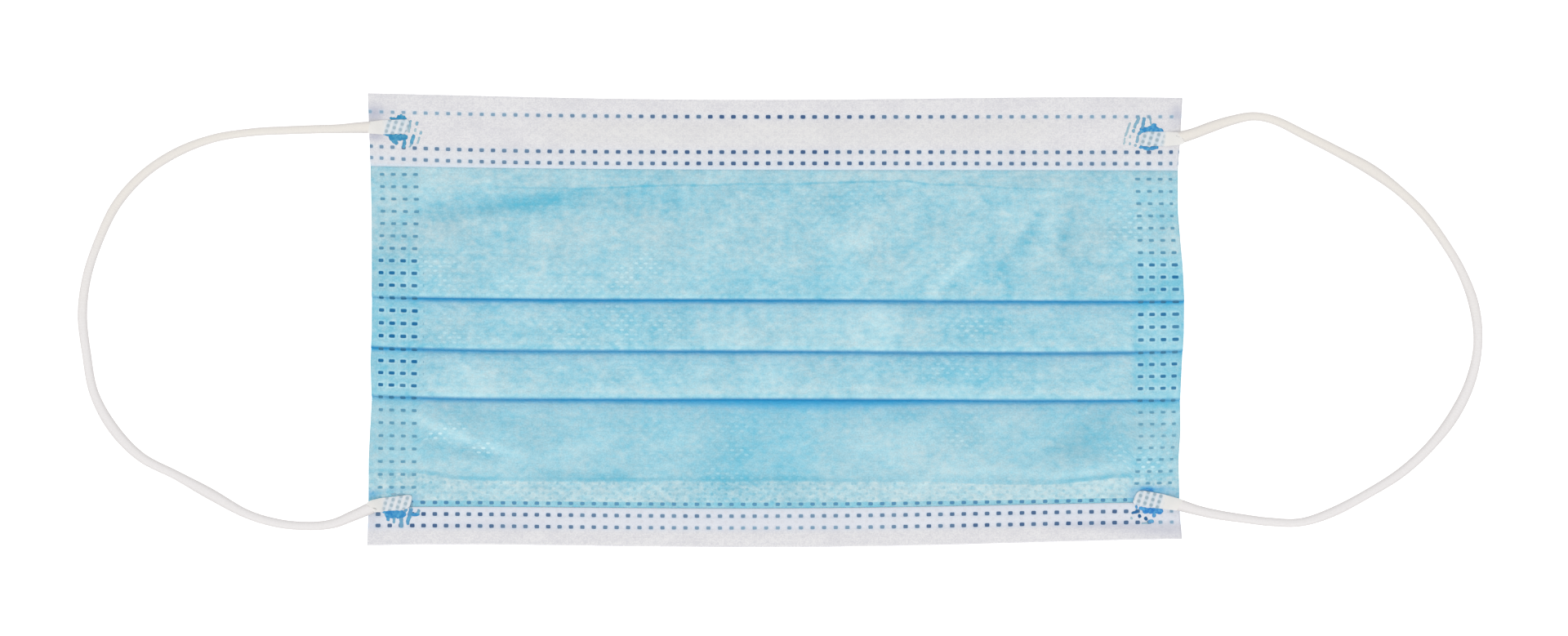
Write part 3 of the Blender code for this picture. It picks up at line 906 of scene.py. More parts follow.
print(f"the bow lifts the middle by {bow.max():.2f} mm, the creases by up to {crease_height.max():.2f} mm")

# %% [markdown]
# The sheet then gets its thickness: its front and its back are the section moved by half a ply along its
# own normal. The welds press the two together, most on the front. Where a row of welds crosses a fold line
# it hits the thick edge of the fold, and its points stay weaker.

# %% Thickness and side welds
FRONT_DENT = 0.10
BACK_DENT = 0.06
FOLD_ROW_STRENGTH = 0.74

row = row_number(section_y)
column = side_column(grid_x)
row_reach = off_centre(row) * ROW_PITCH
on_fold = np.isin(np.round(row), ROW_MARKS[1:4])
strength = by_side(grid_x, np.round(row), SIDE_ROWS, 3) * np.where(on_fold, FOLD_ROW_STRENGTH, 1.0)
strength = strength * (column > -0.5) * (column < 3.5) * (row > -0.5) * (row < 25.5)
near_side = smooth_step(74, 77, np.abs(grid_x)) * (1 - smooth_step(86, 87.5, np.abs(grid_x)))
cut_x = follow_cut(grid_x + by_side(grid_x, row, SIDE_ROWS) * near_side, section_y)

along_y, along_z = np.gradient(section_y, axis=1), np.gradient(sheet_z, axis=1)
norm = np.hypot(along_y, along_z)
normal_y, normal_z = along_z / norm, -along_y / norm
dent = weld_dent(off_centre(column) * SIDE_PITCH, row_reach, SIDE_WELD) * (strength > 0)
front, back = (np.stack([cut_x, section_y + normal_y * half, sheet_z + normal_z * half], axis=-1)
               for half in (ply[:, None] / 2 - FRONT_DENT * dent, BACK_DENT * dent - ply[:, None] / 2))
print(f"cloth from {back[..., 2].min():.2f} to {front[..., 2].max():.2f} mm over the table")

# %% [markdown]
# Where a cord end is pressed into a corner, cloth and band slope away from it and look darker. A few soft
# ovals say where. The same ovals serve the cloth and the bands, each with its own shade colour.

# %% Shades at the corners
CORNER_SHADES = np.array([
    # x, y, radius_x, radius_y, amount
    (-86.4, 44.6,  2,   1.7,  0.75),
    (-86.2, 39.5,  2.2, 0.9,  0.65),
    (86.6,  44.4,  1.4, 1.8,  0.6),
    (84,    41.6,  2.5, 0.8,  0.15),
    (84,    -45.2, 9,   1.5,  0.42),
    (70,    -44.2, 10,  1,    0.4),
    (-62,   -44,   12,  0.8,  0.2),
    (-86.5, -44,   1.5, 3,    0.15),
    (80.3,  -36.5, 1.9, 0.65, 1),
    (83.6,  -37,   2.6, 0.85, 0.75),
    (86.4,  -37.7, 1.8, 0.8,  0.45),
    (77.3,  -37.8, 0.8, 1.4,  0.45),
    (-86.8, -37.5, 1.7, 0.8,  0.6),
    (-81.5, -36.7, 3,   0.45, 0.3),
    (-77.3, -38.6, 0.7, 0.9,  0.45),
])


def corner_shade(x, y):
    """How deep the shade is where a cord end or a corner makes the cloth slope away: a sum of soft ovals."""
    return sum(amount * oval(x, y, *place) for *place, amount in CORNER_SHADES)


print("shade at the lower right pad:", round(float(corner_shade(80.3, -36.5)), 2))

# %% [markdown]
# Just under each fold line the cloth is painted deep blue as shade: the fold's shadow on the layer below,
# deepened to the blue of light that has passed several plies. Its rim, where the plies are seen edge on, is
# painted deep blue too, partly its own colour and partly shade in the turn. So the material needs the
# distance from the fold above a place and from the place's own fold. A fold is not equally sharp along its
# line: a short table says how deep the painted blue is. The last fold stands open in the middle, so its
# shade reaches further down there.

# %% Distances from the folds
FOLD_STATIONS = (-85, -76, -40, -10, 0, 30, 50, 76, 85)
FOLD_SHADE_DEPTHS = (
    # one row for each fold
    (0.30, 0.97, 1.00, 1.00, 1.00, 0.80, 0.90, 0.97, 0.95),
    (1.00, 0.90, 0.77, 0.92, 0.88, 0.80, 0.82, 0.84, 0.60),
    (0.50, 0.82, 0.92, 0.98, 0.98, 0.98, 0.88, 0.92, 0.60),
)
FOLD_SHIFTS = (0.0, 0.12, 0.06)    # the blue line lies a little higher than the fold
RIM_PALENESS = (0.05, 0.25, 0.60)  # how pale the cloth gets just above each fold
FAR = 40.0
part_ends = np.cumsum([part[0].shape[1] for part in path])
parts = [slice(end - part[0].shape[1], end) for end, part in zip(part_ends, path)]
own_fold, upper_fold = np.full((2, *section_y.shape), FAR)
fold_shade_depth = np.ones(section_y.shape)
layer, rim_pale = np.zeros((2, *section_y.shape))
fold_lines = [line(pleat, cloth_x)[:, None] for pleat in PLEATS]
turned = np.arange(7) / 6
for number, depths in enumerate(FOLD_SHADE_DEPTHS):
    run, arc, hidden, low_arc, after = parts[4 * number:4 * number + 5]
    inside = slice(hidden.start, low_arc.stop)
    here = np.interp(cloth_x, FOLD_STATIONS, depths)[:, None]
    shaded_line = fold_lines[number] + FOLD_SHIFTS[number]
    own_fold[:, run] = section_y[:, run] - shaded_line
    own_fold[:, arc] = np.where(turned < 0.5, front[:, arc, 1] - shaded_line, -0.6 * turned)
    own_fold[:, inside] = -3
    opening = 1 + 1.6 * fall_off((cloth_x - 5) / 26)[:, None] * (number == 2)
    upper_fold[:, after] = (shaded_line - section_y[:, after]) / opening
    upper_fold[:, inside] = -1
    fold_shade_depth[:, run] = np.where(upper_fold[:, run] < own_fold[:, run], fold_shade_depth[:, run], here)
    fold_shade_depth[:, arc] = here
    fold_shade_depth[:, after] = here
    layer[:, after.start:] = number + 1
    rim_pale[:, run] = RIM_PALENESS[number] * hump(section_y[:, run] - fold_lines[number], 0.3, 3.4)
print("deepest blue of each fold:", [max(depths) for depths in FOLD_SHADE_DEPTHS])

# %% [markdown]
# The tone of a place is the sum of what the creases, the patches, the rims of the folds and the rollers did
# there. Between the rows of strong side welds the plies are pressed together and look deeper and clearer.

# %% Tones of the cloth
SIDE_DEPTH = 0.62
SIDE_CLEARNESS = (0.2, 0.85)          # left and right
LAYER_LIGHT = np.array([0.0, 0.25, 0.25, -0.1])

patch_pale, patch_light, patch_glint = patches(grid_x, section_y, layer, fold_lines)
side_press = smooth_step(76.0, 77.2, np.abs(grid_x))
side_press = side_press * smooth_step(5.8, 6.8, row) * (1 - smooth_step(18.2, 19, row))
# painted light and shade: crease_pale and crease_light make the creases' ridges paler and their hollows
# deeper
pale = crease_pale + patch_pale + rim_pale - SIDE_DEPTH * side_press - 0.08 * (layer == 3)
light = (crease_light + patch_light + LAYER_LIGHT[layer.astype(int)]
         + np.where(grid_x < 0, *SIDE_CLEARNESS) * side_press)
print(f"pale from {pale.min():.1f} to {pale.max():.1f}, light from {light.min():.1f} to {light.max():.1f}")

# %% [markdown]
# Everything that the material needs is stored on the piece: the place on the flat cloth, the place among
# the side welds and among the welds of the bottom row, and the distances, lines and tones from above.

# %% The cloth as a piece
cloth = new_piece("pleated_cloth", *closed_sheet(front, back))


def path_length(y, z):
    """Length along each section line, from its first point to each of its points."""
    steps = [np.diff(part, axis=1, prepend=part[:, :1]) for part in (y, z)]
    return np.cumsum(np.hypot(*steps), axis=1)


def both_sides(*grids):
    """Three grids as an attribute of a closed sheet: the same values for its front and its back."""
    values = np.column_stack([np.broadcast_to(grid, grids[0].shape).ravel() for grid in grids])
    return np.concatenate([values, values])


length_down = path_length(section_y, sheet_z)
low_number = weld_number("bottom", grid_x)
low_strength = row_strength("low_row_1", grid_x) * (low_number > 2.5) * (low_number < 67.5)
for name, grids in {
    "cloth_mm": (grid_x, length_down, layer),
    "side_weld": (column, row_reach, strength),
    "fold_mm": (own_fold, upper_fold, fold_shade_depth),
    "low_weld": (low_number, section_y - line("low_row_1", grid_x), low_strength),
    "ledge_mm": (section_y - upper_ledge, section_y - lower_ledge, patch_glint),
    "ledge_looks": (upper_line + 0 * grid_x, lower_line, pale_below),
    "tone": (pale, light, np.where(layer == 3, 0.7, 1.0)),
}.items():
    give(cloth, name, both_sides(*grids))
give(cloth, "corner_shade", both_sides(corner_shade(grid_x, section_y))[:, 0])
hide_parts("pleated_panel")

# %% [markdown]
# Both long edges are wrapped in a strip of white cloth that goes from the front round the edge to the back.
# The welds pull it flat along their rows and it puffs up between them. Over the nose wire the top band has
# a flat ridge.

# %% The front height of a band
BAND_PLY = 0.26
BACK_HEIGHT = 0.15
EDGE_RADIUS = 0.40
PRESSED_HEIGHT = 0.88
FREE_EDGE_DROP = 0.06
WIRE_PLACE = (5.3, 40.4)
WIRE_SIZE = (104.0, 3.0, 0.5)
RIDGE_REACH = 2.0             # half the width of the ridge over the wire
RIDGE_HEIGHT, RIDGE_FOOT = 0.22, 0.10
BANDS = {
    # free edge, rows of welds, outer edge, and how high the cloth puffs up between one and the next
    "top_binding": ("top_band", ("top_row_3", "top_row_2", "top_row_1"), "top_edge",
                    (0.02, 0.07, 0.22, 0.14)),
    "bottom_binding": ("bottom_band", ("low_row_2", "low_row_3"), "bottom_edge", (0.02, 0.07, 0.14)),
}


def over_wire(x):
    """1 where the nose wire is in the top band and 0 beyond its two ends."""
    return 1 - smooth_step(WIRE_SIZE[0] / 2 - 1, WIRE_SIZE[0] / 2 + 4, np.abs(x - WIRE_PLACE[0]))


def outward(name):
    """1 for the top band and -1 for the bottom band: the way from its free edge to the outer edge."""
    free, _, edge, _ = BANDS[name]
    return np.sign(line(edge, 0.0) - line(free, 0.0))


def band_front(name, x, y):
    """Height of the middle of a band's front leg: pressed at the rows of welds and humped between them."""
    free, rows, edge, humps = BANDS[name]
    side = outward(name)
    stops = [line(free, x), *(line(row, x) for row in rows), line(edge, x) - side * EDGE_RADIUS]
    rise = smooth_step(0, 1, (y - stops[-2]) / (stops[-1] - stops[-2]))
    height = PRESSED_HEIGHT + (BACK_HEIGHT + 2 * EDGE_RADIUS - PRESSED_HEIGHT) * rise
    for start, end, puff in zip(stops, stops[1:], humps):
        height = height + puff * hump(y, start, end) * (1 + 0.25 * swell(x, y, 21, 40, 9))
    height = height - FREE_EDGE_DROP * (1 - smooth_step(0, 0.9, side * (y - stops[0])))
    if name == "top_binding":
        ridge = RIDGE_HEIGHT * np.exp(-((y - WIRE_PLACE[1]) / RIDGE_REACH) ** 4)
        height = height + over_wire(x) * (ridge + RIDGE_FOOT * hump(y, stops[2], stops[3]))
    return height + 0.018 * swell(x, y, 23, 9, 2.5) * hump(y, stops[0] - side, stops[-1] + side)


print("front of the top band over the wire:", np.round(band_front("top_binding", np.zeros(1), 40.4), 2), "mm")

# %% [markdown]
# A band is drawn like the cloth: a front leg, a half turn round the edge, and a back leg. Five grid columns
# stand on each weld of the 70 in a row, so the dents keep their shape. The back leg needs fewer lines,
# because its welds are only faint marks.

# %% The section of a band
WELD_OFFSETS = np.array([-0.5, -0.29, 0.0, 0.29, 0.5])
ROW_OFFSETS = np.array([-0.42, -0.25, 0.0, 0.25, 0.42])
ROW_REACH = 0.42
LINE_GAP = 0.55


def leg_heights(name, band_x):
    """Heights (y) of the grid lines of a band's front leg in each column, from its free edge to the fold."""
    free, rows, edge, _ = BANDS[name]
    side = outward(name)
    at = line(free, band_x)
    parts = [at[:, None]]
    for row in rows:
        centre = line(row, band_x)
        gap = float(np.abs(centre - at).min())
        parts += [spaced(at, centre - side * ROW_REACH, max(2, int(gap / LINE_GAP))),
                  beside(centre, side * ROW_OFFSETS)]
        at = centre + side * ROW_REACH
    fold = line(edge, band_x) - side * EDGE_RADIUS
    return np.hstack([*parts, spaced(at, fold, 7), fold[:, None]])


def band_section(name, band_x):
    """The path of a band in each column, as y and z, and the number of points in its front leg."""
    leg_y = leg_heights(name, band_x)
    leg_z = band_front(name, np.repeat(band_x[:, None], leg_y.shape[1], axis=1), leg_y)
    turn = np.linspace(np.pi / 2, -np.pi / 2, 11)[1:-1]
    turn_y = leg_y[:, -1:] + outward(name) * EDGE_RADIUS * np.cos(turn)
    turn_z = BACK_HEIGHT + (leg_z[:, -1:] - BACK_HEIGHT) / 2 * (1 + np.sin(turn))
    back_y = np.hstack([leg_y[:, -1:], spaced(leg_y[:, -1], leg_y[:, 0], 14), leg_y[:, :1]])
    back_z = np.full(back_y.shape, BACK_HEIGHT)
    return np.hstack([leg_y, turn_y, back_y]), np.hstack([leg_z, turn_z, back_z]), leg_y.shape[1]


print("points down a band:", [band_section(name, np.zeros(1))[0].shape[1] for name in BANDS])

# %% [markdown]
# The skin of a band lies half a ply to each side of that path, thinner at the free edge, and the welds dent
# its outside. The material gets the nearest weld with its strength, the place on the flat strip, and the
# distances from the free edge and from the outer edge.

# %% Bands as closed sheets
BAND_ENDS = ([-87.5, -87.2, -86.7, -86.3], [86.3, 86.9, 87.5])
THIN_EDGE = 0.07
BAND_DENTS = (0.12, 0.04)     # how deep a weld is on the front and on the back


def band(name, shown_name):
    """A wrapped band: its section path per column, half a ply to each side of it, and dents at the welds."""
    free, rows, edge, _ = BANDS[name]
    side, where = outward(name), edge.split("_")[0]
    welds = (weld_places(where, np.arange(BAND_COUNT))[:, None] + WELD_OFFSETS).ravel()
    band_x = np.concatenate([BAND_ENDS[0], welds, BAND_ENDS[1]])
    y, z, front_points = band_section(name, band_x)
    x = np.repeat(band_x[:, None], y.shape[1], axis=1)
    reaches = np.array([np.abs(y - line(row, band_x)[:, None]) for row in rows])
    strengths = np.array([row_strength(row, x) for row in rows])
    near = reaches.min(axis=0)
    strength = np.take_along_axis(strengths, reaches.argmin(axis=0)[None], axis=0)[0]
    number = weld_number(where, x)
    press = weld_dent(off_centre(number) * BAND_PITCH, near, BAND_WELD)
    step_y, step_z = np.gradient(y, axis=1), np.gradient(z, axis=1)
    size = np.hypot(step_y, step_z)
    out_y, out_z = -side * step_z / size, side * step_y / size
    on_front = np.arange(y.shape[1]) < front_points
    half = BAND_PLY / 2 - THIN_EDGE * (1 - smooth_step(0, 0.9, side * (y - y[:, :1])))
    outside = half - np.where(on_front, *BAND_DENTS) * press
    cut = follow_cut(x, y)
    skin = [np.stack([cut, y + out_y * part, z + out_z * part], axis=-1) for part in (outside, -half)]
    piece = new_piece(shown_name, *closed_sheet(*skin))
    from_free, from_edge = y - line(free, band_x)[:, None], line(edge, band_x)[:, None] - y
    give(piece, "band_weld", both_sides(number, near, strength))
    give(piece, "band_mm", both_sides(x, np.cumsum(size, axis=1), on_front))
    give(piece, "band_place", both_sides(from_free, from_edge, corner_shade(x, y)))
    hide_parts(name)
    return piece


top_white = band("top_binding", "top_white_band")
bottom_white = band("bottom_binding", "bottom_white_band")

# %% [markdown]
# A flat wire in a plastic coat lies inside the top band, and only the ridge over it shows. It is a bar with
# rounded edges: rings of a superellipse along a straight line, with the coat slightly uneven.

# %% Nose wire
WIRE_HEIGHT = BACK_HEIGHT + BAND_PLY / 2 + 0.08 + WIRE_SIZE[2] / 2

wire_x = np.linspace(-WIRE_SIZE[0] / 2 + 0.4, WIRE_SIZE[0] / 2 - 0.4, 105)
level = np.ones(len(wire_x))
wire_centres = np.column_stack([wire_x + WIRE_PLACE[0], WIRE_PLACE[1] + 0.04 * np.sin(wire_x / 9),
                                WIRE_HEIGHT * level])
wire_sizes = np.column_stack([WIRE_SIZE[1] + 0.03 * np.sin(wire_x / 1.7), WIRE_SIZE[2] * level])
round_off = (np.abs(np.cos(TURNS)) ** 6 + np.abs(np.sin(TURNS)) ** 6) ** (-1 / 6)
wire = tube("coated_nose_wire", ring_points(*capped(wire_centres, wire_sizes), round_off))
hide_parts("nose_wire")

# %% [markdown]
# At each corner the end of the elastic is laid on the front and pressed flat by a toothed tool. The end
# starts as round as the cord and becomes a flat pad. Rings along a short line do this: their width grows
# and their height shrinks on the way.

# %% Loop ends from round to flat
LOOP_ENDS = {
    # x, y, turn, start, reach, column, row, depth, cord, and which of its ends
    "loop_end_top_left":     (-82.9, 41.6,  2,   -1.2, 3.6, 0.6,  0.1,   0.8,  "ear_loop_left",  0),
    "loop_end_top_right":    (82.9,  39.05, 0.5, -0.8, 3.8, 0.61, -0.37, 0.9,  "ear_loop_right", 0),
    "loop_end_bottom_left":  (-82.6, -39.6, 7,   -1.9, 3.9, 0,    -0.25, 0.8,  "ear_loop_left",  -1),
    "loop_end_bottom_right": (82.6,  -39,   -10, -0.9, 4.9, 0.1,  -0.08, 0.95, "ear_loop_right", -1),
}
PAD_START = 3.9
PAD_WIDTH = 3.1
PAD_HEIGHT = 0.36
PAD_SINK = 0.10
TIP_NARROWING = 0.20
OVERLAP = 0.4                 # how far the end reaches back into the cord, in steps between its rings
SWELLING = 1.03               # how much wider the end starts than the cord is


def front_height(x, y):
    """Height of the mask's front near a corner: the outside of the band there."""
    name = "top_binding" if np.mean(y) > 0 else "bottom_binding"
    return band_front(name, x, y) + BAND_PLY / 2


def flattening_rings(x, y, turn, reach, cord_name, end):
    """Centres and sizes of the rings along a smooth line from the cord to the tip of the pad."""
    centres, width, height = cord_line(cord_name)
    angle = np.radians(turn)
    along = -np.sign(x) * np.array([np.cos(angle), np.sin(angle)])
    pad_start = np.array([x, y]) - along * PAD_START
    pad_end = np.array([x, y]) + along * reach
    joint = centres[end] - (centres[end] - centres[1 if end == 0 else -2]) * OVERLAP
    share = np.concatenate([[0.0], np.linspace(0.02, 1, 110)])
    knots = np.array([joint[:2], pad_start, (pad_start + pad_end) / 2, pad_end])
    flat_line = through(np.column_stack([knots, np.zeros(4)]), len(share))[:, :2]
    flatten = smooth_step(0.0, 0.39, share)
    tip = np.clip((share - 0.90) / 0.10, 0, 1)
    wide = (width[end] * SWELLING * (1 - flatten) + PAD_WIDTH * flatten) * (1 - TIP_NARROWING * tip**3)
    high = height[end] * SWELLING * (1 - flatten) + PAD_HEIGHT * flatten
    lift = front_height(flat_line[:, 0], flat_line[:, 1]) + high / 2 - PAD_SINK
    middle = joint[2] * (1 - flatten) + lift * flatten
    return capped(np.column_stack([flat_line, middle]), np.column_stack([wide, high]))


print("front of the mask at the top left end:", round(float(front_height(-82.9, 41.6)), 2), "mm")

# %% [markdown]
# The tool leaves slanted ribs with rows of small dents between them, and the flat part leans over like the
# ribs. So the place of each point on the tool's lattice is worked out once: it sinks the mesh, and the
# material gets it too.

# %% Teeth of the tool
TOOL_TURN = np.radians(18.0)
TOOL_PITCH = (1.40, 1.24)
GROOVE_DEPTH = 0.05
TOOTH_DEPTH = 0.08


def tool_teeth(x, y, column, row):
    """Numbers of the tool's columns and rows at a place, with fractions; the lattice leans by 18 degrees."""
    return ((x * np.cos(TOOL_TURN) - y * np.sin(TOOL_TURN)) / TOOL_PITCH[0] - column,
            (x * np.sin(TOOL_TURN) + y * np.cos(TOOL_TURN)) / TOOL_PITCH[1] - row)


def loop_end(name):
    """The pressed end of a cord: rings from the cord's own section to a flat pad, ribbed on top."""
    x, y, turn, start, reach, first_column, first_row, depth, cord_name, end = LOOP_ENDS[name]
    rings, sizes = flattening_rings(x, y, turn, reach, cord_name, end)
    points = ring_points(rings, sizes)
    inwards = -np.sign(x) * (rings[:, 0] - x)
    flat_share = smooth_step(start - 0.7, start + 0.7, inwards)[:, None]
    points[..., 0] += np.tan(TOOL_TURN) * (points[..., 1] - rings[:, None, 1]) * flat_share
    upper = np.clip(points[..., 2] - rings[:, None, 2], 0, None) / (sizes[:, 1, None] / 2)
    column, row = tool_teeth(points[..., 0] - x, points[..., 1] - y, first_column, first_row)
    sideways, lengthwise = off_centre(column) * TOOL_PITCH[0], off_centre(row) * TOOL_PITCH[1]
    groove = 1 - smooth_step(0.15, 0.60, sideways)
    tooth = 1 - smooth_step(0.18, 0.50, np.hypot(sideways, lengthwise))
    points[..., 2] -= (GROOVE_DEPTH * groove + TOOTH_DEPTH * tooth) * flat_share * upper
    piece = tube(name.replace("loop_end", "welded_end"), points)
    pressed_share = np.repeat(flat_share * depth, SIDE_COUNT)
    give(piece, "tool_teeth", np.column_stack([column.ravel(), row.ravel(), pressed_share]))
    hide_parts(name)
    return piece


ends = [loop_end(name) for name in LOOP_ENDS]

# %% [markdown]
# Beside the pads the tool touched the cloth itself. There the white band melted and the blue ply shows
# through as short bars and slanted strokes. Each stroke is a capsule: all places nearer to a line piece
# than half its width.

# %% Strokes of the corner welds
STROKES = {
    # x0, y0, x1, y1 from the middle of the loop end, width, and how much blue shows; over 1 it gets navy
    "top_left": (
        (0.1, 1.85, 3.2, 1.8, 0.55, 0.9), (1.7, 2.1, 2.8, 2.05, 0.9, 0.95),
        (2.1, 2.35, 2.25, 2.5, 0.55, 0.9),
        (-1.25, -1.45, 0.2, -1.95, 0.6, 0.9), (0.3, -2.25, 3.05, -2.2, 1.4, 1.1),
        (0.75, -2.9, 1.15, -3.45, 0.95, 0.8), (2.95, -2.8, 2.85, -4.2, 0.75, 0.8),
        (4.3, 1.25, 4.1, 0.1, 0.55, 0.45), (4.1, 0, 3.95, -1, 0.45, 0.25),
        (5.75, 0.9, 5.7, 0.6, 0.65, 0.5), (5.3, -0.5, 5.28, -0.8, 0.5, 0.2),
        (4.95, -1.85, 4.55, -3.4, 0.75, 0.75), (4.4, -3.6, 4.1, -4.2, 0.5, 0.4),
        (6.55, -1, 6.5, -1.4, 0.55, 0.4), (6.3, -2.3, 5.8, -3.4, 0.45, 0.3),
    ),
    "top_right": (
        (-6.5, 3.3, -7.5, 0.65, 0.48, 0.3), (-7.6, 0.1, -7.75, -1, 0.38, 0.15),
        (-4.65, 4.4, -5.45, 2.6, 0.68, 0.5), (-5.75, 1.8, -5.8, 1.6, 0.7, 0.55),
        (-6.4, 0.55, -6.5, 0.35, 0.5, 0.2), (-6.5, -0.95, -6.6, -1.1, 0.52, 0.35),
        (-3.4, 4.3, -3.85, 2.2, 0.75, 0.65), (-4, 1.8, -4.55, 1.1, 0.7, 0.7),
        (-4.7, 0.4, -5, -0.6, 0.65, 0.5), (-5.3, -1.4, -5.3, -1.55, 0.62, 0.4),
        (-2.1, 4.4, -1.9, 2.9, 0.5, 0.45), (-3.9, 1.85, -2.4, 2.1, 1.1, 1),
        (-2.2, 2.2, -1.3, 2.8, 1.1, 1), (-2, 2.1, 0.2, 1.7, 1.1, 1.05),
        (-0.9, 2.5, -0.4, 2.1, 0.7, 0.9), (-4.05, -1.8, -2.3, -2.18, 0.8, 0.85),
        (-2.3, -2.18, -0.65, -1.8, 0.8, 0.85), (0.1, 0.8, -0.2, -0.6, 0.9, 0.2),
    ),
    "bottom_left": (
        (-2.1, -1.45, -1, -2, 0.7, 0.9), (-0.7, -2.25, 2.15, -2.3, 1.7, 1),
        (2.5, -1.75, 3.2, -1.35, 0.6, 0.7), (-0.8, -2.9, -0.8, -3.45, 0.75, 0.8),
        (0.6, -3.1, 0.45, -3.9, 0.65, 0.6), (2.05, -3.2, 2.05, -4.9, 0.8, 0.65),
        (4.25, 0.1, 4.05, -1.1, 0.6, 0.5), (4.05, -1.3, 3.45, -4.1, 0.85, 0.75),
        (4.5, -2.27, 5.5, -2.27, 0.8, 0.9), (5.5, -2.3, 5.75, -1.5, 0.6, 0.6),
        (0, 2.05, 2.8, 2.05, 0.4, 0.45),
    ),
    "bottom_right": (
        (-3.7, 2.25, -2.6, 2.5, 0.5, 0.8), (-2.6, 2.5, -1.3, 2.35, 0.55, 0.9),
        (-3.8, -1.6, -3, -1.9, 0.9, 1), (-2.9, -2.05, 0.4, -2.2, 1.25, 1.1),
        (-0.95, -3, -0.95, -3.2, 0.8, 0.8), (-5.5, -2.55, -4.5, -2.25, 0.6, 1.4),
        (-4.8, -1.2, -4.75, -1.35, 0.6, 0.8), (-4.1, -3.2, -4.05, -3.35, 0.75, 1.5),
        (-2.8, -3.75, -2.7, -3.85, 0.75, 1.5), (-5.9, -3.6, -5.85, -3.75, 0.5, 0.3),
        (-1.9, -4.45, -1.4, -4.4, 0.8, 0.75), (-3.4, -4.8, -2.5, -4.75, 0.42, 0.4),
    ),
}


def capsules(strokes, x, y):
    """Signed distance to the joined capsules, negative inside, and the blue share of the nearest one."""
    x0, y0, x1, y1, width, blue = (strokes[:, column, None, None] for column in range(6))
    run_x, run_y = x1 - x0, y1 - y0
    share = np.clip(((x - x0) * run_x + (y - y0) * run_y) / (run_x**2 + run_y**2), 0, 1)
    away = np.hypot(x - x0 - share * run_x, y - y0 - share * run_y) - width / 2
    return away.min(axis=0), blue[:, 0, 0][away.argmin(axis=0)]


print({corner: f"{len(strokes)} strokes" for corner, strokes in STROKES.items()})

# %% [markdown]
# A fine grid is cut along the outline of the joined capsules: only the cells inside it are kept. Each kept
# cell gives a top, an under side, and a wall wherever its neighbour is missing.

# %% Islands of grid cells
def cell_corners(grid):
    """The four neighbours that meet between the rows and columns of a grid, as a stack of four grids."""
    return np.stack([grid[:-1, :-1], grid[1:, :-1], grid[:-1, 1:], grid[1:, 1:]])


def island_quads(kept):
    """Quads round the kept cells, as tops, under sides and walls; kept has one bare cell more all round."""
    rows, columns = np.array(kept.shape) - 1
    count = rows * columns
    a, b = np.nonzero(kept[1:-1, 1:-1])
    tops = grid_quads(rows, columns)[kept[1:-1, 1:-1].ravel()]
    walls = []
    for (down, across), (p, q) in {(-1, 0): (0, 1), (0, 1): (1, 2), (1, 0): (2, 3), (0, -1): (3, 0)}.items():
        first, second = tops[~kept[a + 1 + down, b + 1 + across]][:, [p, q]].T
        walls.append(np.column_stack([second, first, first + count, second + count]))
    return np.concatenate([tops, tops[:, ::-1] + count, *walls])


print("one kept cell has", len(island_quads(np.pad(np.ones((1, 1), bool), 1))), "quads")

# %% [markdown]
# The outermost points of an island then slide onto the outline, which gives smooth small marks with a real
# edge. They lie on the band, and at the bottom corners partly on the blue cloth beside it.

# %% Melted marks on the front
CELL = 0.09
MARK_MARGIN = 0.8
MARK_HEIGHTS = (0.02, -0.12)  # how far the rim of the top and the under side are from the front of the mask
MARK_RISE = 0.05
MARK_TINTS = {"top_left": 0.1, "top_right": 0.5, "bottom_left": 0.5, "bottom_right": 0.9}


def cloth_front(x, y):
    """Height of the cloth's front at the heights y, below the last fold, in the column nearest to x."""
    below = front[np.abs(cloth_x - x).argmin(), parts[-1]]
    return np.interp(y, below[::-1, 1], below[::-1, 2])


def melted_marks(corner):
    """All strokes of one corner as thin closed islands that lie on the front of the mask."""
    pad_x, pad_y = LOOP_ENDS[f"loop_end_{corner}"][:2]
    strokes = np.array(STROKES[corner])
    tips = strokes[:, :4].reshape(-1, 2)
    start, end = tips.min(axis=0) - MARK_MARGIN, tips.max(axis=0) + MARK_MARGIN
    x, y = np.meshgrid(np.arange(start[0], end[0], CELL), np.arange(start[1], end[1], CELL), indexing="ij")
    depth, blue = capsules(strokes, x, y)
    depth = depth + 0.05 * swell(x, y, 31, 1.6, 0.5)
    kept = np.pad(cell_corners(depth).sum(axis=0) < 0, 1)
    touching = cell_corners(kept)
    rim = touching.any(axis=0) & ~touching.all(axis=0)
    slope_x, slope_y = np.gradient(depth, CELL)
    steep = np.maximum(slope_x**2 + slope_y**2, 0.25)
    slide = np.where(rim, np.clip(depth, -0.6 * CELL, 0.6 * CELL) / steep, 0)
    place_x, place_y = x - slide * slope_x + pad_x, y - slide * slope_y + pad_y
    on_cloth = (pad_y < 0) & (place_y > line("bottom_band", place_x))
    ground = np.where(on_cloth, cloth_front(pad_x, place_y), np.maximum(front_height(place_x, place_y), 0.0))
    rise = MARK_RISE * smooth_step(0.0, 0.16, np.where(rim, 0, -depth))
    levels = ground + rise + MARK_HEIGHTS[0], ground + MARK_HEIGHTS[1]
    points = np.concatenate([np.stack([place_x, place_y, z], axis=-1).reshape(-1, 3) for z in levels])
    used, quads = np.unique(island_quads(kept), return_inverse=True)
    piece = new_piece(f"weld_mark_{corner}", points[used], quads.reshape(-1, 4))
    give(piece, "melt", both_sides(-depth, blue, MARK_TINTS[corner])[used])
    return piece


weld_marks = [melted_marks(corner) for corner in STROKES]

# %% [markdown]
# A node tree is a formula, so it is written as one. The small class below wraps a socket, and Python's
# operators on it add Math nodes. Each operator has a second form, reflected, which Python calls when the
# flow stands on the right, as in 1 - flow. Both forms differ only in the order of the two values, so a
# loop makes them.

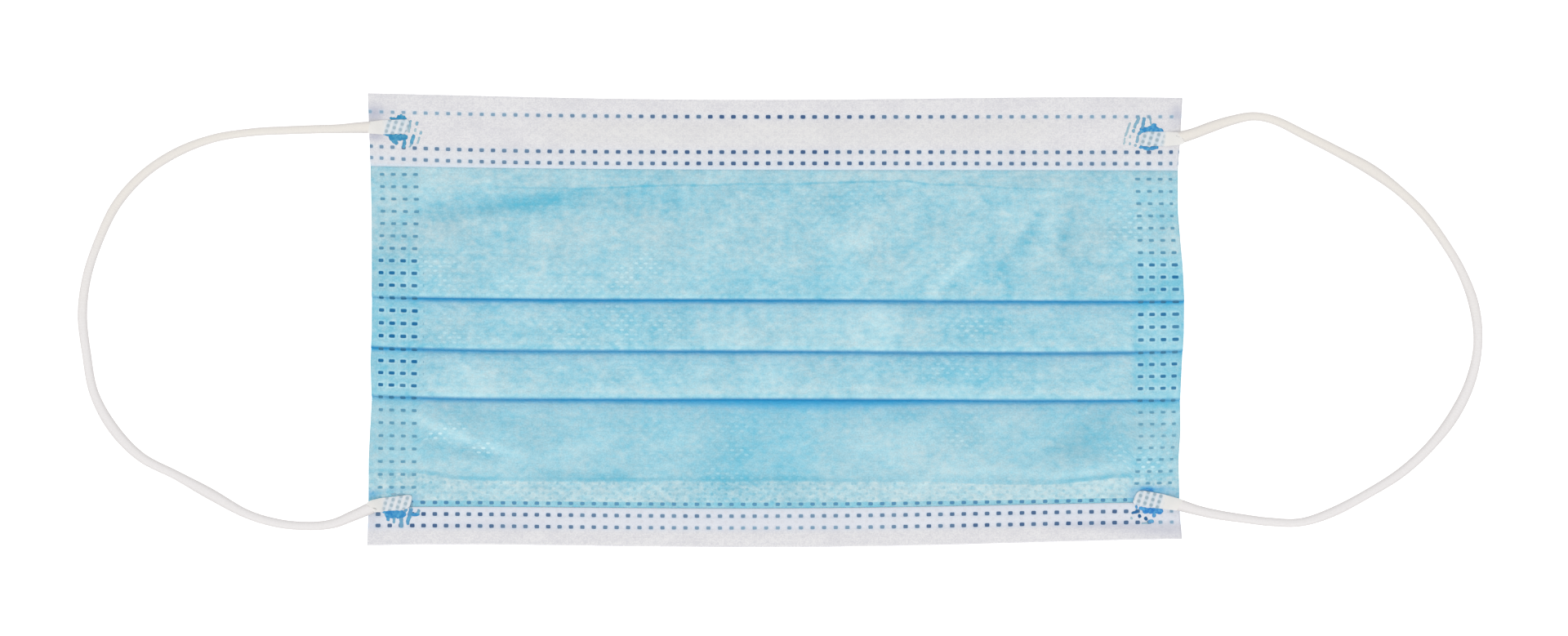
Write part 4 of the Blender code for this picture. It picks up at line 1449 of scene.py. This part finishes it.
# %% Sockets that can be calculated with
class Flow:
    """A number that flows through a node tree: arithmetic on it adds a Math node to the tree."""

    def __init__(self, socket):
        self.socket = socket

    def __lt__(self, other):
        return maths("LESS_THAN", self, other)

    def __abs__(self):
        return maths("ABSOLUTE", self)


def overload(sign, operation):
    """Gives Flow an operator in both its forms: with the flow on the left, and reflected."""
    setattr(Flow, f"__{sign}__", lambda flow, other: maths(operation, flow, other))
    setattr(Flow, f"__r{sign}__", lambda flow, other: maths(operation, other, flow))


def maths(operation, *values):
    """A Math node with the operation on the values, each of them a number or a flow."""
    tree = next(value for value in values if isinstance(value, Flow)).socket.id_data
    node = tree.nodes.new("ShaderNodeMath")
    node.operation = operation
    for place, value in enumerate(values):
        feed(node.inputs[place], value)
    return Flow(node.outputs[0])


def feed(socket, value):
    """Links a flow to a socket, or writes a plain value into it."""
    if isinstance(value, Flow):
        socket.id_data.links.new(value.socket, socket)
    else:
        socket.default_value = value


OPERATIONS = {"add": "ADD", "sub": "SUBTRACT", "mul": "MULTIPLY", "truediv": "DIVIDE", "pow": "POWER"}
for sign, operation in OPERATIONS.items():
    overload(sign, operation)
print("operators:", ", ".join(OPERATIONS))

# %% [markdown]
# One more class holds a material while it is put together. Its method `node` adds any node: the settings
# first, since some of them change which sockets exist, and then the inputs. Colours are written as a
# screen shows them, from 0 to 255. They go through Mix nodes and vectors through Vector Math, because a
# Math node would turn a colour grey.

# %% Materials under construction
def srgb(red, green, blue):
    """A colour as a screen shows it, 0 to 255, as the linear colour that a shader needs."""
    share = np.array([red, green, blue]) / 255
    linear = np.where(share <= 0.04045, share / 12.92, ((share + 0.055) / 1.055) ** 2.4)
    return (*(float(part) for part in linear), 1.0)


class Finish:
    """A Principled material and the few kinds of node that the finishes below are made of."""

    def __init__(self, name, sheen=0.0, specular=0.3):
        self.material = bpy.data.materials.new(name)
        self.material.use_nodes = True
        self.tree = self.material.node_tree
        self.inputs = self.tree.nodes["Principled BSDF"].inputs
        self.inputs["Sheen Weight"].default_value = sheen
        self.inputs["Specular IOR Level"].default_value = specular

    def node(self, kind, settings, inputs, output=0):
        """Adds a node, sets its settings, then its inputs, and returns one of its outputs."""
        node = self.tree.nodes.new(kind)
        for name, value in settings.items():
            setattr(node, name, value)
        for name, value in inputs.items():
            feed(node.inputs[name], value)
        return Flow(node.outputs[output])

    def attribute(self, name, output="Vector"):
        """A named attribute of the piece."""
        return self.node("ShaderNodeAttribute", {"attribute_name": name}, {}, output)

    def place(self):
        """The place of a point in the piece's own coordinates, in metres."""
        return self.node("ShaderNodeTexCoord", {}, {}, "Object")

    def channels(self, name):
        """The three numbers of a named attribute."""
        vector = self.attribute(name)
        node = self.tree.nodes.new("ShaderNodeSeparateXYZ")
        feed(node.inputs[0], vector)
        return [Flow(output) for output in node.outputs]

    def noise(self, place, scale, detail, roughness=0.5):
        """Soft noise round 0, mostly from -0.3 to 0.3, with its own scale along each direction of a place."""
        scaled = self.node("ShaderNodeVectorMath", {"operation": "MULTIPLY"}, {0: place, 1: scale})
        return self.node("ShaderNodeTexNoise", {}, {"Vector": scaled, "Scale": 1.0, "Detail": detail,
                                                    "Roughness": roughness}) - 0.5

    def ramp(self, value, low, high):
        """0 at low and 1 at high, with a smooth change between them; low may be the larger one."""
        return self.node("ShaderNodeMapRange", {"interpolation_type": "SMOOTHSTEP"},
                         {"Value": value, "From Min": low, "From Max": high})

    def mix(self, share, first, second):
        """first where share is 0, second where it is 1: colours, each a flow or (red, green, blue)."""
        first, second = (part if isinstance(part, Flow) else srgb(*part) for part in (first, second))
        return self.node("ShaderNodeMix", {"data_type": "RGBA"}, {0: share, 6: first, 7: second}, 2)

    def paint(self, share, colour):
        """Lays a colour over what is painted so far; share says how much it covers."""
        self.colour = self.mix(share, self.colour, colour)

    def done(self, height, roughness):
        """Feeds the shader, with a height in mm as a bump, and returns the material."""
        feed(self.inputs["Base Color"], self.colour)
        feed(self.inputs["Roughness"], roughness)
        if height is not None:
            bump = self.node("ShaderNodeBump", {}, {"Strength": 1.0, "Distance": MM, "Height": height})
            feed(self.inputs["Normal"], bump)
        print(f"{self.material.name}: {len(self.tree.nodes)} nodes")
        return self.material


def dress(piece, *materials):
    """Gives a piece its materials, in the order of its material numbers."""
    for material in materials:
        piece.data.materials.append(material)


print("white band in linear colour:", np.round(srgb(225, 224, 226), 3))

# %% [markdown]
# Three patterns serve several finishes. The bond points of a spunbonded mat are small ovals in staggered
# rows. A row of welds needs the number of the weld with its fraction, and the distance along it. A weld is
# ragged at its rim, and each one may come out darker or paler by chance.

# %% Patterns of mats and welds
FINE_LATTICE = ((3.03, 2.2), (0.34, 0.34))       # size of a cell of the lattice, and of a bond point
COARSE_LATTICE = ((2.06, 2.04), (0.46, 0.27))


def whole(value):
    """The nearest whole number."""
    return maths("ROUND", value)


def lattice(finish, x, y, cell, size):
    """1 at the bond points of a spunbonded mat and 0 between them: small ovals in staggered rows."""
    a, b = x / cell[0] + y / cell[1], x / cell[0] - y / cell[1]
    off_a, off_b = a - whole(a), b - whole(b)
    sideways, along = (off_a + off_b) * (cell[0] / 2 / size[0]), (off_a - off_b) * (cell[1] / 2 / size[1])
    return finish.ramp(sideways * sideways + along * along, 1.5, 0.4)


def ragged(finish, place):
    """How much the rim of a weld strays from its rounded rectangle."""
    return finish.noise(place, (2.6, 2.6, 1), 2.0) * 0.8


def weld(finish, number, pitch, along, size, strength, uneven):
    """1 inside the rounded rectangles of a row of welds, as in weld_dent; weak welds are smaller."""
    sideways = abs(number - whole(number)) * pitch
    share = (sideways / size[0]) ** 4.0 + (abs(along) / size[1]) ** 4.0
    shape = finish.ramp(share + uneven + (1.0 - strength) * 0.9, 1.6, 0.5)
    return shape * finish.ramp(strength, 0.02, 0.3)


def chance(finish, number, other):
    """A random number from 0 to 1 that is the same all over one weld."""
    pair = finish.node("ShaderNodeCombineXYZ", {}, {"X": whole(number), "Y": whole(other)})
    return finish.node("ShaderNodeTexWhiteNoise", {"noise_dimensions": "2D"}, {"Vector": pair})


print(f"bond points stand {FINE_LATTICE[0][0]} or {COARSE_LATTICE[0][0]} mm apart in a row")

# %% [markdown]
# The outer ply is a mat of blue fibres, bonded at thousands of tiny points on a slanted lattice. It is
# thin, so it looks cloudy: pale where few fibres lie, deeper where they are dense, in streaks that run
# along the mask. Two numbers carry that look, as in the tables of the creases: pale, and light. Several
# noises of different grain are added to them.

# %% Noises of the blue mat
BLUE_NOISES = {
    # how fine it is across, down and from layer to layer, detail, roughness
    "clouds":   ((1 / 12, 1 / 9, 9), 2.0, 0.95),
    "specks":   ((1 / 1.7, 1 / 1.25, 9), 2.0, 0.5),
    "blush":    ((1 / 1.9, 1 / 1.5, 6), 1.0, 0.8),
    "grain":    ((2.8, 3.2, 1), 1.0, 0.5),
    "dullness": ((1 / 9, 1 / 7, 5), 2.0, 0.5),
    "fibres":   ((1 / 1.3, 1 / 0.4, 1), 1.0, 0.5),
    "patchy":   ((1 / 5, 1 / 4, 7), 1.0, 0.5),
}


def mat_tones(finish, clouds, specks, blush, grain, dullness, fibres):
    """pale and light of the mat: the stored tones plus the noises, each with its own weight."""
    pale, light, contrast = finish.channels("tone")
    mat = (clouds * 3.0 + specks * 2.7) * contrast
    return (pale + mat + fibres * 0.2 + grain + blush * 0.9,
            light + dullness * 2.2 + fibres * 0.4 + grain * 4.8 - mat * 0.12 - blush * 2.4)


print(len(BLUE_NOISES), "noises")

# %% [markdown]
# At the ledges the rollers pressed the plies together. The upper ledge is a fine deep line of painted shade
# with dull cloth above it. Below the lower ledge, which gets a line of painted shade too, lies the pale
# strip, in which the bond points show as small knots.

# %% Ledges and the pressed strip
def ledge_tones(finish, x, specks):
    """What the two ledges, the strip and the welded edge under it add to pale and to light."""
    above, below, _ = finish.channels("ledge_mm")
    upper_line, lower_line, strip_pale = finish.channels("ledge_looks")
    _, along, _ = finish.channels("low_weld")
    strip = finish.ramp(below, 0.1, -0.25) * finish.ramp(along, 0.3, 0.5)
    knots = lattice(finish, x + 1.5, along, *FINE_LATTICE) * finish.ramp(specks, -0.2, 0.1)
    welded_edge = finish.ramp(along, 0.5, 0.3)
    under_band = finish.ramp(above, 0.0, 0.5)
    pale = under_band * (upper_line * 0.35 - 0.2 - knots * 0.3) - welded_edge * 0.45
    # painted shade: dark lines along the small steps at the upper and the lower ledge
    pale = pale - finish.ramp(abs(above + 0.1), 0.42, 0.05) * upper_line * 0.9
    pale = pale - finish.ramp(abs(below - 0.4), 0.8, 0.1) * lower_line
    pale = pale + strip * (strip_pale * 0.85 + specks * 2.4 - knots * 1.1)
    return pale, welded_edge * 0.3 - strip * (knots * 0.6 + 0.4) - under_band * 0.5


# %% [markdown]
# Just under each fold line and at the rim of a fold the colour is painted deep blue as shade, the blue of
# light that has passed several plies. The welds are melted spots, nearly navy where many layers meet, and
# the puckered cloth round a strong weld gets a painted highlight that makes it a little brighter.

# %% Blue cloth
PUCKER = (1.05, 0.72)         # half width and half height of the pucker round a side weld
RING = (0.78, 0.50)           # and of the blue ring at its rim
LOW_WELD = (0.49, 0.36)       # and of a weld in the lowest row on the cloth


def blue_cloth():
    """Cloudy blue nonwoven with bond points and painted glints, fold lines painted deep blue as shade, pale
    fold rims, a painted highlight round strong welds, and navy welds.
    """
    finish = Finish("blue_nonwoven_cloth", sheen=0.03, specular=0.1)
    place = finish.attribute("cloth_mm")
    x, y, _ = finish.channels("cloth_mm")
    *noises, patchy = (finish.noise(place, *values) for values in BLUE_NOISES.values())
    clouds, specks, fibres = noises[0], noises[1], noises[5]
    pale, light = mat_tones(finish, *noises)
    ledge_pale, ledge_light = ledge_tones(finish, x, specks)
    own, upper, depth = finish.channels("fold_mm")
    rim = finish.ramp(own, 1.5, 0.8) * finish.ramp(own, 0.1, 0.5)
    column, along, strength = finish.channels("side_weld")
    uneven = ragged(finish, place)
    strong = finish.ramp(strength, 0.5, 0.9)
    # painted highlight: the puckered cloth round a strong side weld is painted paler and clearer
    pucker_highlight = weld(finish, column, SIDE_PITCH, along, PUCKER, strength, uneven * 2.5) * strong
    share = finish.ramp(pale + ledge_pale + pucker_highlight * 0.7, -2.6, 2.6)
    dull = finish.mix(share, (105, 181, 204), (216, 230, 232))
    clear = finish.mix(share, (99, 195, 223), (210, 244, 250))
    light = light + ledge_light + rim * 1.2 + pucker_highlight * 0.4
    finish.colour = finish.mix(finish.ramp(light, -2.0, 2.0), dull, clear)

    points = lattice(finish, x, y, *COARSE_LATTICE)
    _, _, glint = finish.channels("ledge_mm")
    patchy = finish.ramp(patchy, -0.08, 0.12)
    # painted highlight: the bond points are painted pale cyan, partly their own paler colour and partly
    # painted glints, strongest in the glint patches
    finish.paint(points * (0.10 + glint * 0.55) * (0.4 + patchy * 0.9), (210, 242, 249))
    # painted shade: deep blue under each fold line, fading down the layer below, and at the fold's rim,
    # partly the plies' own colour seen edge on
    below = maths("MAXIMUM", upper, 0.0)
    shade = finish.ramp(below, 1.15, 0.0) * 0.75 + (2.718 ** (below * -0.7)) * 0.2
    finish.paint(shade * depth, (36, 177, 230))
    finish.paint(finish.ramp(own, 0.68, -0.05) * depth * 0.95, (18, 136, 194))

    ring = weld(finish, column, SIDE_PITCH, along, RING, strength, uneven) * strong
    finish.paint(ring * 0.22, (84, 190, 232))
    spot = weld(finish, column, SIDE_PITCH, along, SIDE_WELD, strength, uneven)
    dark = finish.ramp(strength * (0.75 + chance(finish, column, y * 0.37) * 0.3), 0.3, 1.0)
    finish.paint(spot * 0.97, finish.mix(dark, (100, 160, 188), (6, 108, 164)))
    number, low_along, low_strength = finish.channels("low_weld")
    low_spot = weld(finish, number, BAND_PITCH, low_along, LOW_WELD, low_strength, uneven)
    low_dark = finish.ramp(low_strength, 0.5, 1.0)
    finish.paint(low_spot * 0.95, finish.mix(low_dark, (100, 162, 197), (54, 116, 169)))
    finish.paint(finish.attribute("corner_shade", "Fac"), (24, 162, 222))
    height = points * -0.03 + fibres * 0.05 + clouds * 0.04 - spot * 0.05 - low_spot * 0.10
    return finish.done(height, 0.84 - spot * 0.3)


blue = blue_cloth()

# %% [markdown]
# The bands are the same kind of mat without dye. Near the free edge of a band the blue cloth shines through
# faintly. The welds are steel blue, because melting makes the white ply clear and shows the dyed one under
# it. Single welds differ: some are dark, some have hardly melted.

# %% White bands
HALO = (0.85, 0.72)           # half width and half height of the pale blue round a weld of a band


def white_band():
    """White nonwoven with rows of steel-blue welds and a faint blue cast where blue cloth lies under it."""
    finish = Finish("white_nonwoven_cloth", sheen=0.03, specular=0.15)
    place = finish.attribute("band_mm")
    x, y, _ = finish.channels("band_mm")
    from_free, from_edge, shade = finish.channels("band_place")
    clouds = finish.noise(place, (1 / 9, 1 / 6, 1), 4.0, 0.8)
    fibres = finish.noise(place, (1 / 1.1, 1 / 0.38, 1), 2.0, 0.8)
    grain = finish.noise(place, (2.8, 3.2, 1), 1.0)
    points = lattice(finish, x, y, *FINE_LATTICE)
    mat = finish.ramp(clouds * 1.6 + fibres * 0.9 + grain * 1.6, -0.5, 0.5)
    finish.colour = finish.mix(mat, (222, 221, 226), (238, 237, 238))
    off_free = abs(from_free)
    wired = finish.ramp(abs(from_edge - 7.4), 3.4, 1.4) * finish.ramp(abs(x - 5.0), 60.0, 48.0)
    finish.paint(finish.ramp(off_free, 6.0, 0.5) * 0.35, (214, 227, 240))
    finish.paint(finish.ramp(off_free, 0.9, 0.1) * 0.35, (205, 232, 250))
    finish.paint((from_edge < 0.0) * finish.ramp(off_free, 5.6, 4.4) * 0.45, (226, 231, 243))
    finish.paint(wired * 0.22, (229, 228, 222))
    finish.paint(points * 0.3, (214, 214, 220))
    finish.paint(shade, (182, 186, 206))

    number, along, strength = finish.channels("band_weld")
    uneven = ragged(finish, place)
    halo, spot = (weld(finish, number, BAND_PITCH, along, size, strength, uneven)
                  for size in (HALO, BAND_WELD))
    dark = finish.ramp(strength * (0.80 + chance(finish, number, off_free * 0.42) * 0.2), 0.3, 1.0)
    finish.paint(halo * 0.22, (190, 214, 236))
    finish.paint(spot * 0.96, finish.mix(dark, (138, 173, 197), (45, 86, 134)))
    height = points * -0.03 + fibres * 0.05 + clouds * 0.04
    return finish.done(height * (1.0 - spot), 0.84 - spot * 0.3)


white = white_band()

# %% [markdown]
# The back of the folded cloth shows the inner ply, which is white too. The cloth is one piece, so its faces
# on the back get a second material. The front grid's faces come first in its mesh, then those of the back.

# %% Inner ply, and the cloth dressed
def white_inner():
    """The white inner ply on the back of the cloth, with the side welds as grey-blue dents."""
    finish = Finish("white_inner_ply", sheen=0.05)
    place = finish.attribute("cloth_mm")
    x, y, _ = finish.channels("cloth_mm")
    mottle = finish.noise(place, (1 / 5, 1 / 3.6, 1), 3.0, 0.55)
    points = lattice(finish, x, y, *FINE_LATTICE)
    column, along, strength = finish.channels("side_weld")
    spot = weld(finish, column, SIDE_PITCH, along, SIDE_WELD, strength, ragged(finish, place))
    finish.colour = finish.mix(mottle + 0.5, (216, 219, 224), (232, 233, 234))
    finish.paint(spot * 0.7, (120, 155, 182))
    return finish.done(points * -0.03 + mottle * 0.08 - spot * 0.1, 0.85)


dress(top_white, white)
dress(bottom_white, white)
dress(cloth, blue, white_inner())
front_count = (section_y.shape[0] - 1) * (section_y.shape[1] - 1)
is_back = np.zeros(len(cloth.data.polygons), dtype=np.int32)
is_back[front_count:2 * front_count] = 1
cloth.data.polygons.foreach_set("material_index", is_back)
cloth.data.update()
print("faces of the inner ply:", is_back.sum())

# %% [markdown]
# The elastic is a soft cream-white knit, so fine that only a hint of its stitches shows. Its sides are
# painted a little greyer as shade. Where the tool pressed it, it is smoother, and its dents are grey-green
# from the blue under it.

# %% Elastic and its pressed ends
TOOTH_SIZE = (0.36, 0.38)


def elastic():
    """Cream-white knitted cord with slanted stitches that follow the cord's own length and turn, and painted
    shade on its sides.
    """
    finish = Finish("knitted_elastic", sheen=0.1)
    place = finish.attribute("cord_place")
    length, turn, level = finish.channels("cord_place")
    ribs = turn * RIB_COUNT
    stitches = maths("SINE", (length / 0.62 + abs(ribs - whole(ribs)) * 0.5) * (2 * np.pi))
    wool = finish.noise(place, (1 / 1.1, 14.0, 0), 3.0, 0.6)
    cast = finish.noise(place, (1 / 26, 0.0, 0), 1.0)
    far = finish.ramp(length + cast * 60.0, 40.0, 95.0)
    finish.colour = finish.mix(far, (242, 237, 230), (242, 239, 239))
    finish.paint((wool + 0.2) * 0.5, (223, 218, 215))
    # painted shade: greyer where the cord's surface faces sideways, where |cos(turn)| is near 1
    finish.paint(level ** 3.0, (208, 204, 203))
    return finish.done(stitches * 0.015 + wool * 0.06, 0.75)


def pressed_elastic():
    """The flattened cord end: a paler pad with ribs and grey-green dents between them."""
    finish = Finish("pressed_elastic")
    column, row, flat_share = finish.channels("tool_teeth")
    mottle = finish.noise(finish.place(), (900.0, 900.0, 900.0), 3.0, 0.6)
    sideways, along = (abs(number - whole(number)) * (pitch / size)
                       for number, pitch, size in zip((column, row), TOOL_PITCH, TOOTH_SIZE))
    tooth = finish.ramp(sideways * sideways + along * along, 1.8, 0.3) * flat_share
    groove = finish.ramp(sideways, 1.7, 0.5) * flat_share
    finish.colour = finish.mix(flat_share, (238, 236, 233), (231, 234, 238))
    finish.paint(groove * 0.6 + (mottle + 0.25) * flat_share * 0.7, (188, 210, 224))
    finish.paint(tooth * 0.7, (134, 162, 174))
    return finish.done(mottle * 0.05, 0.72 - flat_share * 0.2)


knit, pad = elastic(), pressed_elastic()

# %% [markdown]
# The melted marks are glossier than cloth, deep blue in the middle and paler at the rim. The wire's coat is
# plain plastic with fine drawing lines. With that every piece can be dressed.

# %% Melted marks and wire
def melted_cloth():
    """Melted blue ply: deep blue in the middle of a stroke, pale and greyish where little has melted."""
    finish = Finish("melted_blue_cloth")
    inside, blue_share, tint = finish.channels("melt")
    mottle = finish.noise(finish.place(), (1400.0, 1400.0, 1400.0), 3.0, 0.6)
    tint = tint * finish.ramp(blue_share, 0.4, 1.0)
    deep = finish.mix(tint, (36, 140, 184), (26, 124, 210))
    paler = finish.mix(tint, (92, 176, 208), (104, 188, 232))
    mottled = finish.mix(finish.ramp(mottle, -0.15, 0.3), deep, paler)
    finish.colour = finish.mix(finish.ramp(blue_share + mottle * 0.3, 0.0, 0.95), (184, 206, 212), mottled)
    finish.paint(finish.ramp(blue_share, 1.0, 1.6), (24, 88, 142))
    finish.paint(finish.ramp(inside, 0.14, -0.02) * 0.4, (142, 190, 214))
    return finish.done(mottle * 0.06, 0.5)


def wire_coat():
    """Matte white plastic with fine lines along the wire."""
    finish = Finish("wire_coat", specular=0.4)
    lines = finish.noise(finish.place(), (60.0, 4000.0, 4000.0), 2.0)
    finish.colour = finish.mix(lines + 0.5, (222, 222, 216), (236, 236, 230))
    return finish.done(lines * 0.02, 0.46 + lines * 0.12)


for pieces, material in ((cords, knit), (ends, pad), (weld_marks, melted_cloth()), ([wire], wire_coat())):
    for piece in pieces:
        dress(piece, material)

# %% [markdown]
# The mask lies on a white light table, as for a product picture: the table glows a little, so it stays
# white right up to the cloth. A broad lamp high above gives soft shade in the folds, and the pale
# surroundings fill in from all sides.

# %% Table, lamps and view
TABLE_REACH = 12.0
WHITE = (1, 1, 1, 1)

table = bpy.data.meshes.new("light_table")
corners = [(-TABLE_REACH, -TABLE_REACH), (TABLE_REACH, -TABLE_REACH), (TABLE_REACH, TABLE_REACH),
           (-TABLE_REACH, TABLE_REACH)]
table.from_pydata([(*corner, 0) for corner in corners], [], [(0, 1, 2, 3)])
floor = put(bpy.data.objects.new("light_table", table))
glow = Finish("light_table", specular=0.0)
glow.inputs["Emission Color"].default_value = WHITE
glow.inputs["Emission Strength"].default_value = 0.55
glow.colour = (0.86, 0.86, 0.86, 1.0)
dress(floor, glow.done(None, 0.9))

world = bpy.data.worlds.new("pale_room")
world.use_nodes = True
room = world.node_tree.nodes["Background"].inputs
room["Color"].default_value = WHITE
room["Strength"].default_value = 0.82
bpy.context.scene.world = world

lamp_data = bpy.data.lights.new("broad_lamp", "SUN")
lamp_data.energy = 0.5
lamp_data.angle = np.radians(35.0)
lamp = put(bpy.data.objects.new("broad_lamp", lamp_data))
lamp.rotation_euler = (np.radians(28.0), np.radians(-10.0), 0)
bpy.context.scene.view_settings.view_transform = "Standard"
print("lamps:", [light.name for light in bpy.data.lights])
